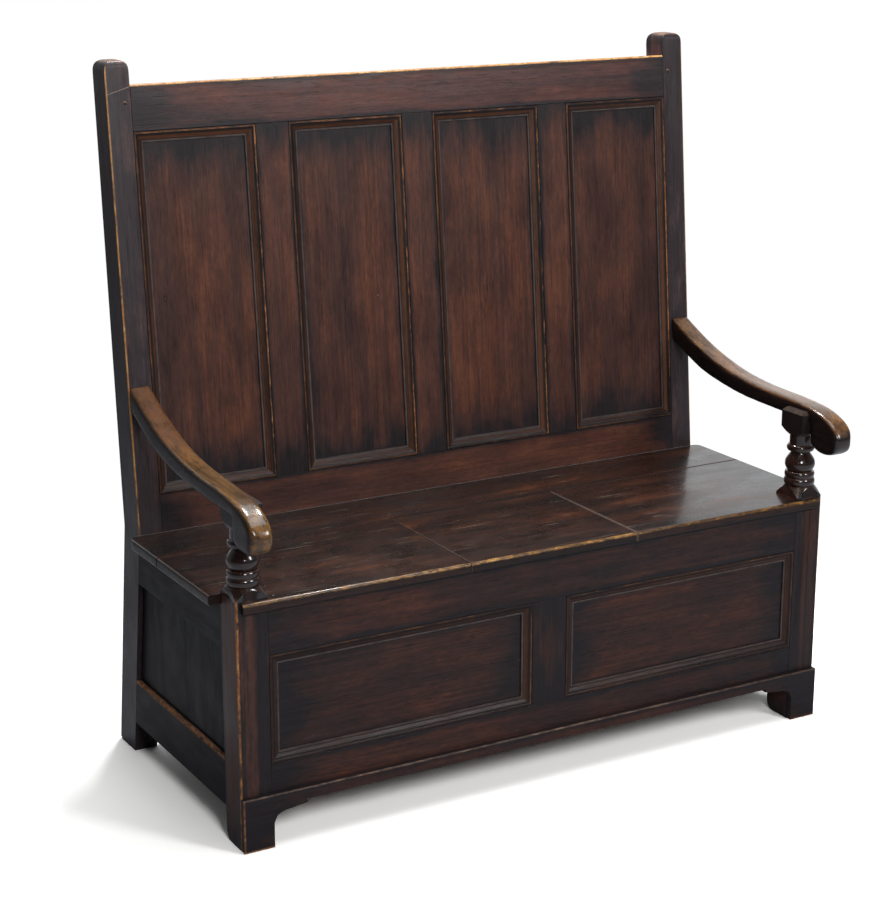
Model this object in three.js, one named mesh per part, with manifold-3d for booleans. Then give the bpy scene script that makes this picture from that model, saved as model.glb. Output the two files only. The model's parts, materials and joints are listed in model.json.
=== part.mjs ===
// A dark oak box settle: four panels in a raked back between kinked posts, scrolled arms on turned
// supports, and a panelled seat box under a seat whose middle front board lifts as a lid.
import * as THREE from "three";
import { mergeVertices } from "three/addons/utils/BufferGeometryUtils.js";
import Module from "manifold-3d";

const wasm = await Module();
wasm.setup();

// Overall sizes in millimetres: x runs to the right, y from the front face of the box backwards, z up
const frameWidth = 1225;
const seatHeight = 445;
const boxDepth = 418;
const topRailHeight = 1242;
const earRise = 42;
const backRake = THREE.MathUtils.degToRad(5.4);
const legSplay = THREE.MathUtils.degToRad(8.4);

// Fits shared by every joint
const clearance = 0.3;
const overrun = 5;
const tenonLength = 30;
const backPostTenonLength = 24;
const tenonThickness = 10;
const tenonShoulder = 12;
const tongue = 8;
const panelThickness = 8;

// Front posts with their turned supports
const postWidth = 58;
const postDepth = 62;
const footWear = 22;
const baseSquareHeight = 3;
const baseShoulderHeight = 19;
const baseShoulderRadius = 28.5;
const lowerRingRadius = 29.5;
const lowerRingHeight = 15;
const upperRingRadius = 28.5;
const upperRingHeight = 13;
const ringGrooveDepth = 3;
const ballGrooveRadius = 22.5;
const ballRadius = 28.5;
const ballHeight = 36;
const ballPeakShare = 0.45;
const neckRadius = 17.5;
const neckHeight = 3;
const beadRadius = 26.5;
const beadHeight = 13;
const collarRadius = 21.5;
const collarHeight = 19;
const blockWidth = 48;
const blockShoulderRadius = 22.5;
const blockShoulderHeight = 13;
const blockChamferHeight = 6;
const blockHeight = 50;
const supportTenonSide = 20;
const supportTenonHeight = 16;

// Back posts
const backPostWidth = 45;
const legDepth = 72;
const earDepth = 57;
const earFrontRound = 12;
const earBackRound = 25;
const earSideRound = 18;
const heelRound = 10;

// Rails, muntins and panels of the box
const railThickness = 24;
const frontTopRailHeight = 82;
const frontBottomRailHeight = 68;
const frontPanelBottom = 148;
const frontMuntinWidth = 71;
const panelSetBack = 9;
const sideTopRailHeight = 78;
const sidePanelBottom = 151;
const sideBottomRailHeight = 90;
const sidePanelSetBack = 10;
const railChamfer = 6;
const railChamferStop = 28;

// Rails, muntins and panels of the raked back, measured up the slope from the seat
const backRailThickness = 26;
const backPanelBottom = 69;
const backTopRailHeight = 81.5;
const backBottomRailDrop = 18;
const backMuntinWidth = 65;
const backPanelSetBack = 10;
const topRailWear = 4;

// Back of the box, measured down the slope of the legs from the seat
const boxBackSetBack = 6;
const boxBackTopRailTop = 24;
const boxBackTopRailHeight = 58;
const boxBackBottomRailHeight = 80;
const boxBackFloorGap = 70;
const boxBackMuntinWidth = 64;

// Planted mouldings round the panels
const mouldingWidth = 19;
const mouldingGap = 0.8;
const mouldingInnerLip = 2.5;
const mouldingBead = 4;
const mouldingBeadStep = 1;

// Seat boards, lid and bearers
const seatThickness = 18;
const seatOverhang = 22;
const noseReach = 11;
const noseSetBack = 9;
const noseRound = 6;
const seatCornerRound = 24;
const rearBoardDepth = 134;
const lidWidth = 350;
const lidOffset = 5;
const lidJoint = 1.5;
const lidOpening = THREE.MathUtils.degToRad(120);
const bearerWidth = 45;
const bearerHeight = 34;
const bearerStub = 12;
const bearerLedgeHeight = 26;
const bearerLedgeWidth = 25;

// Lid hinges let into the joint behind the lid
const knuckleRadius = 3.1;
const hingeLength = 62;
const hingeInset = 60;
const leafThickness = 2;
const leafDrop = 13;
const hingePinRadius = 1.4;
const knuckleGap = 0.4;

// Floor of the storage box
const floorBoardThickness = 12;
const floorBoardCount = 3;
const floorHeight = 86;
const floorLedgeSide = 20;
const floorBoardGap = 1;

// Bracket plinth
const plinthTop = 97;
const plinthThickness = 11;
const plinthRound = 3;
const plinthUnderside = 76;
const bracketWidth = 57;
const bracketScoopWidth = 20;
const bracketStraight = 46;
const bracketRun = 54;
const bracketSpringHeight = 64;
const bracketCuspHeight = 69;
const bracketCuspLean = 2;

// Arms
const armWidth = 42;
const armSplay = 5;
const armFrontReach = 80;
const armTopRise = 272;
const armUndersideRise = 224;
const armBlockRise = 152;
const scrollRise = 96;
const scrollBackLift = 14;
const scrollOuterRound = 17;
const scrollInnerRound = 7;
const armRound = 4;
const armTenonHeight = 30;
const armTenonThickness = 20;
const armTopSteps = 26;
const armUndersideSteps = 9;
const armTopShares = [
  [0.08, 0.886],
  [0.195, 0.743],
  [0.345, 0.611],
  [0.474, 0.546],
  [0.6, 0.517],
  [0.73, 0.503],
  [0.85, 0.474],
  [0.921, 0.422],
  [0.971, 0.343],
  [1, 0.225],
  [0.995, 0.108],
  [0.966, 0.028],
  [0.926, 0],
];
const armUndersideShares = [
  [0.28, 0.045],
  [0.45, 0.12],
  [0.62, 0.27],
  [0.75, 0.44],
  [0.88, 0.72],
];

// Pegs through the top rail's tenons
const pegRadius = 3.6;
const pegDrop = 31;
const pegInset = 11;
const pegProud = 0.8;
const pegLength = 30;
const pegSides = 10;

const curveSteps = 5;
const ballSteps = 10;
const roundSides = 32;
const hingeSides = 16;

const oakColours = {
  frame: 0x3d2317,
  panel: 0x472a1b,
  moulding: 0x5a3720,
  seat: 0x4a3022,
  arm: 0x7a4f28,
  inner: 0x6b4c33,
  iron: 0x2b2826,
};

// Derived places
const halfWidth = frameWidth / 2;
const seatUnderside = seatHeight - seatThickness;
const earHeight = topRailHeight + earRise;
const frontPanelTop = seatUnderside - frontTopRailHeight;
const sidePanelTop = seatUnderside - sideTopRailHeight;
const armTopAtPost = seatHeight + armTopRise;
const armUndersideAtPost = seatHeight + armUndersideRise;
const armUndersideAtBlock = seatHeight + armBlockRise;
const scrollBottom = seatHeight + scrollRise;
const scrollBackHeight = scrollBottom + scrollBackLift;
const supportAxis = { x: halfWidth - postWidth / 2, y: postDepth / 2 };
const lidLeft = lidOffset - lidWidth / 2;
const lidRight = lidOffset + lidWidth / 2;
const pivotHeight = seatHeight - knuckleRadius - clearance;
const rearBoardFront = boxDepth - rearBoardDepth;
const pivotY = rearBoardFront - knuckleRadius - clearance * 2;
const lidBack = pivotY;
const pinBore = hingePinRadius + clearance;

// Solids and booleans
function solidFrom(geometry) {
  const bare = geometry.clone();
  bare.deleteAttribute("normal");
  bare.deleteAttribute("uv");
  const merged = mergeVertices(bare, clearance / 1000);
  const mesh = new wasm.Mesh({
    numProp: 3,
    vertProperties: new Float32Array(merged.attributes.position.array),
    triVerts: new Uint32Array(merged.index.array),
  });
  return new wasm.Manifold(mesh);
}

function geometryFrom(solid) {
  const mesh = solid.getMesh();
  const geometry = new THREE.BufferGeometry();
  geometry.setAttribute("position", new THREE.BufferAttribute(mesh.vertProperties, 3));
  geometry.setIndex(new THREE.BufferAttribute(mesh.triVerts, 1));
  geometry.computeVertexNormals();
  return geometry;
}

function join(...solids) {
  return solids.reduce((sum, next) => sum.add(next));
}

function cut(solid, ...cutters) {
  return cutters.reduce((rest, cutter) => rest.subtract(cutter), solid);
}

function moved(solid, matrix) {
  return solidFrom(geometryFrom(solid).applyMatrix4(matrix));
}

function mirrored(solid) {
  const geometry = geometryFrom(solid);
  geometry.applyMatrix4(new THREE.Matrix4().makeScale(-1, 1, 1));
  const index = geometry.index.array;
  for (let corner = 0; corner < index.length; corner += 3) {
    [index[corner], index[corner + 1]] = [index[corner + 1], index[corner]];
  }
  return solidFrom(geometry);
}

// A box given by its spans along x, y and z
function block(span) {
  const [x, y, z] = [span.x, span.y, span.z];
  const geometry = new THREE.BoxGeometry(x[1] - x[0], y[1] - y[0], z[1] - z[0]);
  geometry.translate((x[0] + x[1]) / 2, (y[0] + y[1]) / 2, (z[0] + z[1]) / 2);
  return solidFrom(geometry);
}

function grown(span, by) {
  return {
    x: [span.x[0] - by, span.x[1] + by],
    y: [span.y[0] - by, span.y[1] + by],
    z: [span.z[0] - by, span.z[1] + by],
  };
}

// An outline through corners [along, up, rounding]
function roundedShape(corners) {
  const shape = new THREE.Shape();
  corners.forEach(([x, y, round = 0], index) => {
    const before = corners[(index + corners.length - 1) % corners.length];
    const after = corners[(index + 1) % corners.length];
    const here = new THREE.Vector2(x, y);
    const toBefore = new THREE.Vector2(before[0] - x, before[1] - y).setLength(round);
    const toAfter = new THREE.Vector2(after[0] - x, after[1] - y).setLength(round);
    const start = here.clone().add(toBefore);
    const end = here.clone().add(toAfter);
    if (index === 0) shape.moveTo(start.x, start.y);
    else shape.lineTo(start.x, start.y);
    if (round > 0) shape.quadraticCurveTo(x, y, end.x, end.y);
  });
  return shape;
}

function extruded(shape, depth, basis, offset) {
  const options = { depth, bevelEnabled: false, curveSegments: curveSteps, steps: 1 };
  const geometry = new THREE.ExtrudeGeometry(shape, options);
  geometry.applyMatrix4(new THREE.Matrix4().makeBasis(...basis));
  geometry.translate(offset.x, offset.y, offset.z);
  return solidFrom(geometry);
}

const axisX = new THREE.Vector3(1, 0, 0);
const axisY = new THREE.Vector3(0, 1, 0);
const axisZ = new THREE.Vector3(0, 0, 1);

// A side outline in y and z, carried across x
function acrossWidth(shape, [x0, x1]) {
  return extruded(shape, x1 - x0, [axisY, axisZ, axisX], new THREE.Vector3(x0, 0, 0));
}

// A front outline in x and z, carried through y
function throughDepth(shape, [y0, y1]) {
  const towardsFront = axisY.clone().negate();
  return extruded(shape, y1 - y0, [axisX, axisZ, towardsFront], new THREE.Vector3(0, y1, 0));
}

// A plan outline in x and y, carried up z
function upHeight(shape, [z0, z1]) {
  return extruded(shape, z1 - z0, [axisX, axisY, axisZ], new THREE.Vector3(0, 0, z0));
}

// A turned piece about an upright axis, from [radius, height] points
function turned(points, centre) {
  const profile = points.map(([radius, height]) => new THREE.Vector2(radius, height));
  const geometry = new THREE.LatheGeometry(profile, roundSides);
  geometry.rotateX(Math.PI / 2);
  geometry.translate(centre.x, centre.y, 0);
  return solidFrom(geometry);
}

// A four-sided taper between two rectangles, bottom then top
function taperedBlock(centre, bottomHalf, topHalf, z0, z1) {
  const corners = [];
  for (const [half, z] of [[bottomHalf, z0], [topHalf, z1]]) {
    corners.push([centre.x - half.x, centre.y - half.y, z], [centre.x + half.x, centre.y - half.y, z]);
    corners.push([centre.x + half.x, centre.y + half.y, z], [centre.x - half.x, centre.y + half.y, z]);
  }
  const geometry = new THREE.BufferGeometry();
  geometry.setAttribute("position", new THREE.Float32BufferAttribute(corners.flat(), 3));
  const faces = [0, 2, 1, 0, 3, 2, 4, 5, 6, 4, 6, 7];
  for (let side = 0; side < 4; side += 1) {
    const next = (side + 1) % 4;
    faces.push(side, next, next + 4, side, next + 4, side + 4);
  }
  geometry.setIndex(faces);
  return solidFrom(geometry);
}

// A mitred ring: profile points [inwards, outwards] carried round an upright rectangle
function mitredRing(centreX, width, bottom, height, backY, profile) {
  const positions = [];
  const around = [[-1, 0], [1, 0], [1, 1], [-1, 1]];
  for (const [side, top] of around) {
    for (const [inwards, outwards] of profile) {
      const x = centreX + side * (width / 2 - inwards);
      const z = top ? bottom + height - inwards : bottom + inwards;
      positions.push(x, backY - outwards, z);
    }
  }
  const count = profile.length;
  const faces = [];
  for (let corner = 0; corner < 4; corner += 1) {
    for (let point = 0; point < count; point += 1) {
      const nextPoint = (point + 1) % count;
      const nextCorner = (corner + 1) % 4;
      const a = corner * count + point;
      const b = corner * count + nextPoint;
      const c = nextCorner * count + nextPoint;
      const d = nextCorner * count + point;
      faces.push(a, b, c, a, c, d);
    }
  }
  const geometry = new THREE.BufferGeometry();
  geometry.setAttribute("position", new THREE.Float32BufferAttribute(positions, 3));
  geometry.setIndex(faces);
  const solid = solidFrom(geometry);
  if (solid.volume() > 0) return solid;
  geometry.setIndex(faces.toReversed());
  return solidFrom(geometry);
}

// The scene graph: the frame, the raked back and the splayed box back
const settle = new THREE.Group();
const rakedBack = new THREE.Group();
rakedBack.position.set(0, boxDepth, seatHeight);
rakedBack.rotation.x = -backRake;
const splayedBack = new THREE.Group();
splayedBack.position.set(0, boxDepth, seatHeight);
splayedBack.rotation.x = legSplay;
settle.add(rakedBack, splayedBack);
rakedBack.updateMatrix();
splayedBack.updateMatrix();

function addNode(name, solid, finish, parent = settle) {
  const metal = finish === "iron";
  const material = new THREE.MeshStandardMaterial({
    color: oakColours[finish],
    roughness: metal ? 0.55 : 0.35,
    metalness: metal ? 0.9 : 0,
  });
  const mesh = new THREE.Mesh(geometryFrom(solid), material);
  mesh.name = name;
  parent.add(mesh);
}

// Where the front face of a back post runs, at a height above the floor
function postFaceAt(height) {
  const slope = height > seatHeight ? Math.tan(backRake) : -Math.tan(legSplay);
  return boxDepth + (height - seatHeight) * slope;
}

// A bead, then an ogee falling to a low inner lip
function mouldingProfile(setBack) {
  const rise = setBack - clearance;
  const ogeeStart = mouldingBead + mouldingBeadStep;
  const ogeeReach = mouldingWidth - mouldingInnerLip - ogeeStart;
  const ogeeTop = rise - mouldingBeadStep;
  const ogee = [];
  for (let step = 0; step <= curveSteps; step += 1) {
    const share = step / curveSteps;
    const fall = THREE.MathUtils.smoothstep(share, 0, 1);
    ogee.push([ogeeStart + ogeeReach * share, THREE.MathUtils.lerp(ogeeTop, mouldingInnerLip, fall)]);
  }
  const lip = [[mouldingWidth, mouldingInnerLip], [mouldingWidth, 0]];
  return [[0, 0], [0, rise], [mouldingBead, rise], ...ogee, ...lip];
}

// Front of the box
const frontOpenings = [
  { name: "left", x: [-halfWidth + postWidth, -frontMuntinWidth / 2] },
  { name: "right", x: [frontMuntinWidth / 2, halfWidth - postWidth] },
];
const frontPanelSpans = frontOpenings.map((opening) => ({
  x: [opening.x[0] - tongue, opening.x[1] + tongue],
  y: [panelSetBack, panelSetBack + panelThickness],
  z: [frontPanelBottom - tongue, frontPanelTop + tongue],
}));
const frontGrooves = frontPanelSpans.map((span) => block(grown(span, clearance)));
const railY = [0, railThickness];
const tenonY = [
  (railThickness - tenonThickness) / 2,
  (railThickness + tenonThickness) / 2,
];
const frontRailReach = halfWidth - postWidth - clearance;

function frontRailTenon(bottom, top, side) {
  const inner = frontRailReach - overrun;
  const outer = frontRailReach + tenonLength;
  return {
    x: side < 0 ? [-outer, -inner] : [inner, outer],
    y: tenonY,
    z: [bottom + tenonShoulder, top - tenonShoulder],
  };
}

const frontTopSpan = {
  x: [-frontRailReach, frontRailReach],
  y: railY,
  z: [frontPanelTop, frontPanelTop + frontTopRailHeight],
};
const frontBottomSpan = {
  x: [-frontRailReach, frontRailReach],
  y: railY,
  z: [frontPanelBottom - frontBottomRailHeight, frontPanelBottom],
};
const frontMuntinSpan = {
  x: [-frontMuntinWidth / 2, frontMuntinWidth / 2],
  y: railY,
  z: [frontPanelBottom + clearance, frontPanelTop - clearance],
};
const frontMuntinTenon = {
  x: [-frontMuntinWidth / 2 + tenonShoulder, frontMuntinWidth / 2 - tenonShoulder],
  y: tenonY,
  z: [frontPanelBottom - tenonLength, frontPanelTop + tenonLength],
};
const bearerXs = [lidLeft, lidRight];
const bearerSpans = bearerXs.map((x) => ({
  x: [x - bearerWidth / 2, x + bearerWidth / 2],
  y: [railThickness + clearance, boxDepth + bearerWidth / 2],
  z: [seatUnderside - clearance - bearerHeight, seatUnderside - clearance],
}));
const bearerStubSpans = bearerSpans.map((span) => ({
  x: [span.x[0] + tenonShoulder, span.x[1] - tenonShoulder],
  y: [railThickness - bearerStub, railThickness + overrun],
  z: [span.z[0] + tenonThickness, span.z[1] - tenonThickness],
}));

function addFront() {
  const muntinMortise = block(grown(frontMuntinTenon, clearance));
  const stubMortises = bearerStubSpans.map((span) => block(grown(span, clearance)));
  const rails = [
    ["front_top_rail", frontTopSpan, stubMortises],
    ["front_bottom_rail", frontBottomSpan, []],
  ];
  for (const [name, span, extraCuts] of rails) {
    const tenons = [-1, 1].map((side) => block(frontRailTenon(span.z[0], span.z[1], side)));
    const rail = cut(block(span), muntinMortise, ...frontGrooves, ...extraCuts);
    addNode(name, cut(join(rail, ...tenons), ...frontGrooves), "frame");
  }
  const muntin = join(block(frontMuntinSpan), block(frontMuntinTenon));
  addNode("front_muntin", cut(muntin, ...frontGrooves), "frame");
  frontOpenings.forEach((opening, index) => {
    addNode(`front_panel_${opening.name}`, block(frontPanelSpans[index]), "panel");
    const width = opening.x[1] - opening.x[0] - 2 * mouldingGap;
    const height = frontPanelTop - frontPanelBottom - 2 * mouldingGap;
    const ring = mitredRing(
      (opening.x[0] + opening.x[1]) / 2,
      width,
      frontPanelBottom + mouldingGap,
      height,
      panelSetBack - clearance,
      mouldingProfile(panelSetBack),
    );
    addNode(`front_moulding_${opening.name}`, ring, "moulding");
  });
}

// Sides of the box, made for the right side and mirrored for the left
const sideOuter = halfWidth;
const sideRailX = [sideOuter - railThickness, sideOuter];
const sideTenonX = [
  sideOuter - (railThickness + tenonThickness) / 2,
  sideOuter - (railThickness - tenonThickness) / 2,
];

function sideMember(bottom, top, front, extraBack, xSpan) {
  const outline = roundedShape([
    [front, bottom],
    [postFaceAt(bottom) + extraBack, bottom],
    [postFaceAt(top) + extraBack, top],
    [front, top],
  ]);
  return acrossWidth(outline, xSpan);
}

function sidePanelSolid(extra) {
  const xSpan = [
    sideOuter - sidePanelSetBack - panelThickness - extra,
    sideOuter - sidePanelSetBack + extra,
  ];
  const bottom = sidePanelBottom - tongue - extra;
  const top = sidePanelTop + tongue + extra;
  return sideMember(bottom, top, postDepth - tongue - extra, tongue + extra, xSpan);
}

function sideTenonSolid(bottom, top, extra) {
  const xSpan = [sideTenonX[0] - extra, sideTenonX[1] + extra];
  const low = bottom + tenonShoulder - extra;
  const high = top - tenonShoulder + extra;
  return sideMember(low, high, postDepth - tenonLength - extra, tenonLength + extra, xSpan);
}

const sideRails = [
  { name: "side_top_rail", bottom: seatUnderside - sideTopRailHeight, top: seatUnderside },
  { name: "side_bottom_rail", bottom: sidePanelBottom - sideBottomRailHeight, top: sidePanelBottom },
];

function sideRailSolid({ name, bottom, top }) {
  const groove = sidePanelSolid(clearance);
  const body = sideMember(bottom, top, postDepth + clearance, -clearance, sideRailX);
  const rail = cut(join(body, sideTenonSolid(bottom, top, 0)), groove);
  if (name !== "side_bottom_rail") return rail;
  const chamferRun = [postDepth + railChamferStop, postFaceAt(top) - railChamferStop];
  const chamfer = roundedShape([
    [sideOuter - railChamfer, top + overrun],
    [sideOuter - railChamfer, top],
    [sideOuter, top - railChamfer],
    [sideOuter + overrun, top - railChamfer],
    [sideOuter + overrun, top + overrun],
  ]);
  return cut(rail, throughDepth(chamfer, chamferRun));
}

function addSides() {
  const panel = sidePanelSolid(0);
  addNode("side_panel_right", panel, "panel");
  addNode("side_panel_left", mirrored(panel), "panel");
  for (const rail of sideRails) {
    const solid = sideRailSolid(rail);
    addNode(`${rail.name}_right`, solid, "frame");
    addNode(`${rail.name}_left`, mirrored(solid), "frame");
  }
}

// Front posts
const ringsBottom = seatHeight + baseSquareHeight + baseShoulderHeight;
const ballBottom = ringsBottom + lowerRingHeight + upperRingHeight;
const beadBottom = ballBottom + ballHeight + neckHeight;
const collarBottom = beadBottom + beadHeight;
const blockBottom = collarBottom + collarHeight;
const blockTop = blockBottom + blockHeight;

function roundedBand(radius, groove, bottom, height) {
  const points = [];
  for (let step = 0; step <= curveSteps; step += 1) {
    const angle = (step / curveSteps) * Math.PI;
    const up = (1 - Math.cos(angle)) / 2;
    points.push([radius - groove + groove * Math.sin(angle), bottom + height * up]);
  }
  return points;
}

// The ball is widest at its peak share and runs up into the neck
function ballProfile() {
  const lean = Math.log(0.5) / Math.log(ballPeakShare);
  const waistAtPeak = THREE.MathUtils.lerp(ballGrooveRadius, neckRadius, ballPeakShare);
  const points = [];
  for (let step = 0; step <= ballSteps; step += 1) {
    const share = step / ballSteps;
    const waist = THREE.MathUtils.lerp(ballGrooveRadius, neckRadius, share);
    const swell = Math.sin(Math.PI * share ** lean);
    points.push([waist + (ballRadius - waistAtPeak) * swell, ballBottom + ballHeight * share]);
  }
  return points;
}

function supportProfile() {
  const upperRingBottom = ringsBottom + lowerRingHeight;
  return [
    [0, ringsBottom - baseShoulderHeight],
    [lowerRingRadius - ringGrooveDepth, ringsBottom - baseShoulderHeight],
    ...roundedBand(lowerRingRadius, ringGrooveDepth, ringsBottom, lowerRingHeight),
    ...roundedBand(upperRingRadius, ringGrooveDepth, upperRingBottom, upperRingHeight).slice(1),
    ...ballProfile(),
    [neckRadius, beadBottom],
    ...roundedBand(beadRadius, beadRadius - collarRadius, beadBottom, beadHeight).slice(1),
    [collarRadius, blockBottom + blockShoulderHeight],
    [0, blockBottom + blockShoulderHeight],
  ];
}

const armInnerAtBlock = halfWidth + armSplay - armWidth;
const supportTenonSpan = {
  x: [
    armInnerAtBlock + armWidth / 2 - supportTenonSide / 2,
    armInnerAtBlock + armWidth / 2 + supportTenonSide / 2,
  ],
  y: [supportAxis.y - supportTenonSide / 2, supportAxis.y + supportTenonSide / 2],
  z: [armUndersideAtBlock - overrun, armUndersideAtBlock + supportTenonHeight],
};

// A square piece on the support's axis, its corners turned down to a shoulder at one end
function shoulderedBlock(width, [z0, z1], shoulderRadius, radiusHeights) {
  const span = {
    x: [supportAxis.x - width / 2, supportAxis.x + width / 2],
    y: [0, postDepth],
    z: [z0, z1],
  };
  const cornerRadius = Math.hypot(width, postDepth) / 2 + clearance;
  const profile = radiusHeights.map(([isShoulder, height]) =>
    [isShoulder ? shoulderRadius : cornerRadius, height]);
  const envelope = turned([[0, z0], ...profile, [0, z1]], supportAxis);
  return block(span).intersect(envelope);
}

function frontPostSolid() {
  const blockHalf = { x: blockWidth / 2, y: postDepth / 2 };
  const blockInset = { x: blockHalf.x - blockChamferHeight, y: blockHalf.y - blockChamferHeight };
  const baseTop = seatHeight + baseSquareHeight;
  const lower = acrossWidth(
    roundedShape([[0, 0], [postDepth, 0, footWear], [postDepth, baseTop], [0, baseTop]]),
    [halfWidth - postWidth, halfWidth],
  );
  const base = shoulderedBlock(postWidth, [baseTop, ringsBottom], baseShoulderRadius, [
    [false, baseTop],
    [true, ringsBottom],
  ]);
  const support = turned(supportProfile(), supportAxis);
  const chamferBottom = blockTop - blockChamferHeight;
  const middle = shoulderedBlock(blockWidth, [blockBottom, chamferBottom], blockShoulderRadius, [
    [true, blockBottom],
    [false, blockBottom + blockShoulderHeight],
    [false, chamferBottom],
  ]);
  const overBlock = taperedBlock(supportAxis, blockHalf, blockInset, chamferBottom, blockTop);
  const armSeat = block({
    x: [armInnerAtBlock - armSplay * (postDepth / boxDepth) - clearance, halfWidth + armWidth],
    y: [-armFrontReach, postDepth + overrun],
    z: [armUndersideAtBlock - clearance, blockTop + overrun],
  });
  const head = cut(join(middle, overBlock), armSeat);
  const post = join(lower, base, support, head, block(supportTenonSpan));
  const tenonCuts = [frontTopSpan, frontBottomSpan].map((span) =>
    block(grown(frontRailTenon(span.z[0], span.z[1], 1), clearance)));
  const sideCuts = sideRails.map(({ bottom, top }) => sideTenonSolid(bottom, top, clearance));
  return cut(post, ...tenonCuts, ...sideCuts, sidePanelSolid(clearance), frontGrooves[1]);
}

// Back posts
const rakeUp = (height) => (height - seatHeight) / Math.cos(backRake);
const topRailTop = rakeUp(topRailHeight);
const backPanelTop = topRailTop - backTopRailHeight;
const backInner = halfWidth - backPostWidth;

function rakedSpan(span) {
  return moved(block(span), rakedBack.matrix);
}

function splayedSpan(span) {
  return moved(block(span), splayedBack.matrix);
}

function backRailTenon(bottom, top, side) {
  const inner = backInner - clearance - overrun;
  const outer = backInner + backPostTenonLength;
  return {
    x: side < 0 ? [-outer, -inner] : [inner, outer],
    y: [(backRailThickness - tenonThickness) / 2, (backRailThickness + tenonThickness) / 2],
    z: [bottom + tenonShoulder, top - tenonShoulder],
  };
}

const backRails = [
  { name: "back_top_rail", bottom: backPanelTop, top: topRailTop },
  { name: "back_bottom_rail", bottom: -backBottomRailDrop, top: backPanelBottom },
];
const boxBackBottomRailTop = seatHeight / Math.cos(legSplay) - boxBackFloorGap - boxBackBottomRailHeight;
const boxBackRails = [
  {
    name: "box_back_top_rail",
    bottom: -boxBackTopRailTop - boxBackTopRailHeight,
    top: -boxBackTopRailTop,
  },
  {
    name: "box_back_bottom_rail",
    bottom: -boxBackBottomRailTop - boxBackBottomRailHeight,
    top: -boxBackBottomRailTop,
  },
];
const boxBackY = [boxBackSetBack, boxBackSetBack + railThickness];
const boxBackTenonY = [boxBackY[0] + tenonY[0], boxBackY[0] + tenonY[1]];

function boxBackTenon(bottom, top, side) {
  return { ...backRailTenon(bottom, top, side), y: boxBackTenonY };
}

const backPanelWidth = (2 * backInner - 3 * backMuntinWidth) / 4;
const backOpenings = [0, 1, 2, 3].map((index) => {
  const left = -backInner + index * (backPanelWidth + backMuntinWidth);
  return [left, left + backPanelWidth];
});
const backPanelSpans = backOpenings.map(([left, right]) => ({
  x: [left - tongue, right + tongue],
  y: [backPanelSetBack, backPanelSetBack + panelThickness],
  z: [backPanelBottom - tongue, backPanelTop + tongue],
}));
const boxBackOpenings = [
  { name: "left", x: [-backInner, -boxBackMuntinWidth / 2] },
  { name: "right", x: [boxBackMuntinWidth / 2, backInner] },
];
const boxBackPanelSpans = boxBackOpenings.map(({ x }) => ({
  x: [x[0] - tongue, x[1] + tongue],
  y: [boxBackY[0] + tongue, boxBackY[0] + tongue + panelThickness],
  z: [boxBackRails[1].top - tongue, boxBackRails[0].bottom + tongue],
}));

const pegCentre = { x: backInner + pegInset, z: topRailTop - pegDrop };

function pegSolid(radius, length) {
  const geometry = new THREE.CylinderGeometry(radius, radius, length, pegSides);
  geometry.translate(pegCentre.x, length / 2 - pegProud, pegCentre.z);
  return solidFrom(geometry);
}

const armBackY = postFaceAt(armTopAtPost);
const armTenonSpan = {
  x: [
    halfWidth - backPostWidth / 2 - armTenonThickness / 2,
    halfWidth - backPostWidth / 2 + armTenonThickness / 2,
  ],
  y: [postFaceAt(armUndersideAtPost) - overrun, armBackY + tenonLength],
  z: [armTopAtPost - tenonShoulder - armTenonHeight, armTopAtPost - tenonShoulder],
};

function backPostSolid() {
  const kneeY = postFaceAt(seatHeight);
  const topY = postFaceAt(earHeight);
  const heelY = postFaceAt(0);
  const outline = roundedShape([
    [heelY, 0],
    [heelY + legDepth, 0, heelRound],
    [kneeY + legDepth, seatHeight],
    [topY + earDepth, earHeight, earBackRound],
    [topY, earHeight, earFrontRound],
    [kneeY, seatHeight],
  ]);
  const front = roundedShape([
    [backInner, 0],
    [halfWidth, 0],
    [halfWidth, earHeight, earSideRound],
    [backInner, earHeight, earSideRound],
  ]);
  const depthSpan = [0, heelY + topY];
  const post = acrossWidth(outline, [backInner, halfWidth]).intersect(throughDepth(front, depthSpan));
  const cuts = [
    ...backRails.map(({ bottom, top }) => rakedSpan(grown(backRailTenon(bottom, top, 1), clearance))),
    ...boxBackRails.map(({ bottom, top }) => splayedSpan(grown(boxBackTenon(bottom, top, 1), clearance))),
    ...sideRails.map(({ bottom, top }) => sideTenonSolid(bottom, top, clearance)),
    sidePanelSolid(clearance),
    rakedSpan(grown(backPanelSpans[3], clearance)),
    splayedSpan(grown(boxBackPanelSpans[1], clearance)),
    block(grown(armTenonSpan, clearance)),
    moved(pegSolid(pegRadius + clearance, backRailThickness + overrun), rakedBack.matrix),
  ];
  return cut(post, ...cuts);
}

function addPosts() {
  const frontPost = frontPostSolid();
  addNode("front_post_right", frontPost, "frame");
  addNode("front_post_left", mirrored(frontPost), "frame");
  const backPost = backPostSolid();
  addNode("back_post_right", backPost, "frame");
  addNode("back_post_left", mirrored(backPost), "frame");
}

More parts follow.
